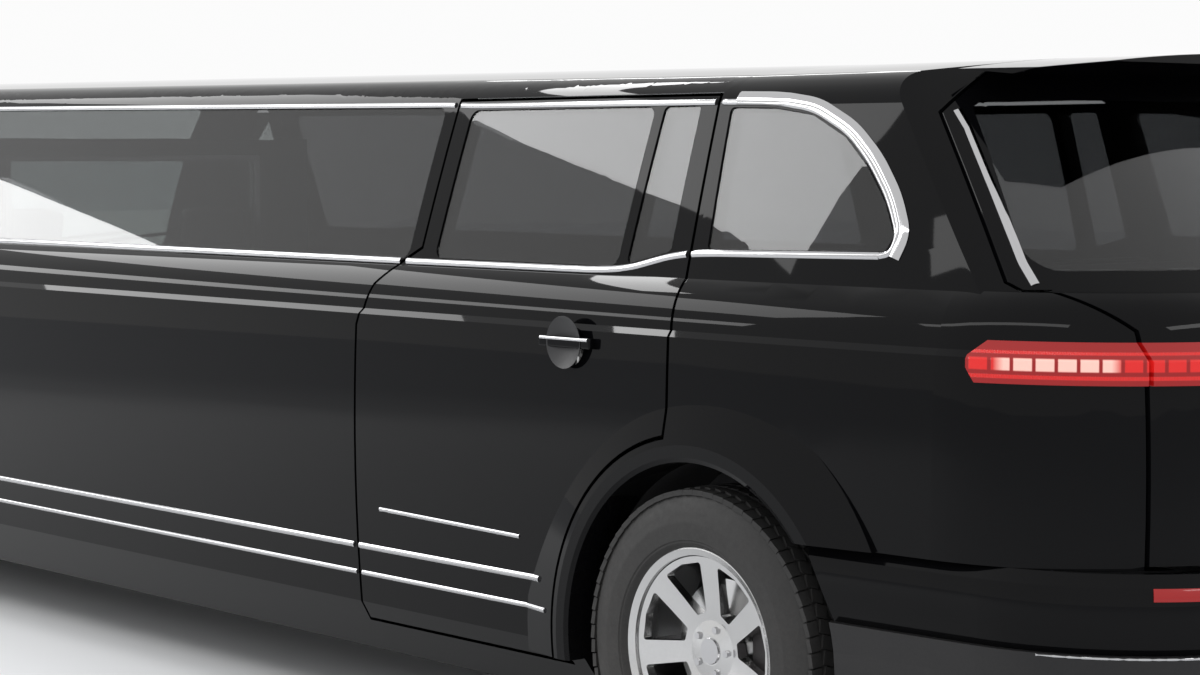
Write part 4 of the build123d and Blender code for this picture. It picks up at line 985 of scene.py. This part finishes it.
def bentPiece(name, panels, halfWidth, material, body="body", touch=touchRear, level=None):
    # panels that follow the curve of the body, by low edge, high edge, lift and thickness
    work = bmesh.new()
    for low, high, lift, thick in panels:
        rows = []
        for i in range(25):
            y = halfWidth * (2 * i / 24 - 1)
            row = []
            for z in (low, high):
                place, normal, owner = touch(y, level or z)
                if level:  # the curve is taken from this one height
                    place = Vector((place.x, place.y, z))
                    normal = Vector((normal.x, normal.y, 0)).normalized()
                row += [place + normal * lift, place + normal * (lift + thick)]
            rows.append([work.verts.new(p) for p in row])
        for near, far in zip(rows, rows[1:]):
            for a, b in ((0, 1), (1, 3), (3, 2), (2, 0)):
                work.faces.new((near[a], near[b], far[b], far[a]))
        for row in (rows[0], rows[-1]):
            work.faces.new((row[0], row[1], row[3], row[2]))
    finishPiece(name, work, material, body)


# bright grip across the tailgate with its shadow gap below
grip = {"halfWidth": 0.30, "bar": (0.975, 0.995, 0.0005, 0.014), "gap": (0.966, 0.975, 0.0005, 0.010)}
bentPiece("tailgateGrip", [grip["bar"]], grip["halfWidth"], brightTrim, "tailgate")
bentPiece("gripShade", [grip["gap"]], grip["halfWidth"], glossBlack, "tailgate")

# lower air intake: slats in front of a dark back panel, set in from the bumper's face, under a bright strip
intake = {"halfWidth": 0.426, "level": 0.42, "back": (0.294, 0.396, -0.052, 0.004), "slats": 5, "slatHalf": 0.0035,
          "slatLift": -0.040, "slatThick": 0.012, "strip": (0.3905, 0.3975, -0.014, 0.010), "stripLevel": 0.43}
low, high = intake["back"][:2]
slatMiddles = [low + (high - low) * (i + 0.5) / intake["slats"] for i in range(intake["slats"])]
slats = [(z - intake["slatHalf"], z + intake["slatHalf"], intake["slatLift"], intake["slatThick"])
         for z in slatMiddles]
for name, panels, material, level in (("intakeBack", [intake["back"]], mouldedBlack, intake["level"]),
                                      ("intakeSlats", slats, glossBlack, intake["level"]),
                                      ("intakeStrip", [intake["strip"]], brightTrim, intake["stripLevel"])):
    bentPiece(name, panels, intake["halfWidth"], material, "body", touchFront, level)

# bright strip down each edge of the tailgate window
gateStrip = {"low": 1.235, "high": 1.600, "samples": 36, "inset": 0.032, "width": 0.020, "height": 0.007,
             "searchFrom": 0.80, "searchStep": 0.0015, "searchCount": 240, "averaged": 4}


def gateEdge(side, z):
    # how far out the tailgate reaches at this height
    for step in range(gateStrip["searchCount"]):
        y = gateStrip["searchFrom"] - gateStrip["searchStep"] * step
        sample = touchRear(side * y, z)
        if sample and sample[2] == "tailgate":
            return y


for side, sideName in sides:
    heights = [gateStrip["low"] + (gateStrip["high"] - gateStrip["low"]) * i / gateStrip["samples"]
               for i in range(gateStrip["samples"] + 1)]
    edges = [gateEdge(side, z) for z in heights]
    touched = []
    for i, z in enumerate(heights):
        near = [e for e in edges[max(0, i - gateStrip["averaged"]):i + gateStrip["averaged"] + 1] if e]
        touched.append(touchRear(side * (sum(near) / len(near) - gateStrip["inset"]), z))
    layMoulding("gateStrip" + sideName, touched, gateStrip["width"], gateStrip["height"], brightTrim, taper=0.5)
print("mirrors, grip and intake made")

# studio: pale floor, soft lamps, white sky to the camera; each lamp is its place, aim, size and power
studio = {"floorColour": (0.84, 0.84, 0.83, 1), "floorHalf": 40, "skyStrength": 0.92, "lamps": {
    "keyLamp": ((-2.0, 6.5, 5.5), (0, 0, 0.6), (9.0, 0.5), 70.0),
    "rearLamp": ((-9.0, -1.0, 5.0), (-2.0, 0, 0.8), (5.0, 0.6), 60.0),
    "farLamp": ((3.0, -7.0, 5.5), (0, 0, 0.6), (9.0, 0.5), 70.0),
    # long lamp ahead of the car on the near side, where the side glass mirrors it
    "bandLamp": ((7.4, 5.2, 7.3), (-1.0, 1.0, 1.4), (9.0, 2.6), 360.0),
    "streakLamp": ((7.0, 5.6, 3.3), (-1.0, 1.0, 1.05), (8.0, 0.7), 115.0),
    "shoulderLamp": ((3.4, 0.6, 6.4), (-2.4, 0.9, 0.9), (5.0, 0.4), 80.0)}}


def makeFloor():
    half = studio["floorHalf"]
    data = bpy.data.meshes.new("studioFloor")
    data.from_pydata([(-half, -half, 0), (half, -half, 0), (half, half, 0), (-half, half, 0)], [], [(0, 1, 2, 3)])
    material, tree, shader = newMaterial("floorPaper", {"Base Color": studio["floorColour"],
                                                        "Specular IOR Level": 0.2})
    grain = placeGroup(tree, surfaceGrain, {"Scale": 3.0, "Middle": 0.85, "Spread": 0.03})
    fillInputs(tree, shader, {"Roughness": grain["Value"]})
    data.materials.append(material)
    newObject("studioFloor", data)


def makeSky():
    world = bpy.data.worlds.new("studioSky")
    scene.world = world
    world.use_nodes = True
    tree = world.node_tree
    tree.nodes.clear()
    path = addNode(tree, "ShaderNodeLightPath").outputs
    seen = calculate(tree, "MAXIMUM", path["Is Camera Ray"], path["Is Transmission Ray"])
    mirrored = calculate(tree, "MAXIMUM", seen, path["Is Glossy Ray"])
    light = addNode(tree, "ShaderNodeBackground", {"Color": (0.93, 0.95, 1.0, 1), "Strength": studio["skyStrength"]})
    white = addNode(tree, "ShaderNodeBackground", {"Color": (0.97, 0.97, 0.97, 1), "Strength": 1.0})
    blend = addNode(tree, "ShaderNodeMixShader", {0: mirrored, 1: light.outputs[0], 2: white.outputs[0]})
    addNode(tree, "ShaderNodeOutputWorld", {"Surface": blend.outputs[0]})


makeFloor()
makeSky()
for name, (place, aim, size, power) in studio["lamps"].items():
    data = bpy.data.lights.new(name, "AREA")
    data.shape = "RECTANGLE"
    data.size, data.size_y = size
    data.energy = power
    lamp = newObject(name, data)
    lamp.location = place
    lamp.visible_camera = False
    lamp.rotation_euler = (Vector(aim) - Vector(place)).to_track_quat("-Z", "Y").to_euler()

# camera where the photograph was taken: behind the rear left wheel, looking along the side
cameraView = {"place": (-7.398, 5.079, 1.501), "yaw": -40.30, "pitch": -3.80, "lens": 82.1}


def makeCamera():
    data = bpy.data.cameras.new("photoCamera")
    data.lens = cameraView["lens"]
    data.sensor_width = 36.0
    data.clip_end = 120.0
    camera = newObject("photoCamera", data)
    yaw, pitch = math.radians(cameraView["yaw"]), math.radians(cameraView["pitch"])
    ahead = Vector((math.cos(yaw) * math.cos(pitch), math.sin(yaw) * math.cos(pitch), math.sin(pitch)))
    camera.location = cameraView["place"]
    camera.rotation_euler = ahead.to_track_quat("-Z", "Y").to_euler()
    scene.camera = camera


makeCamera()
scene.view_settings.view_transform = "Standard"
print("scene finished")
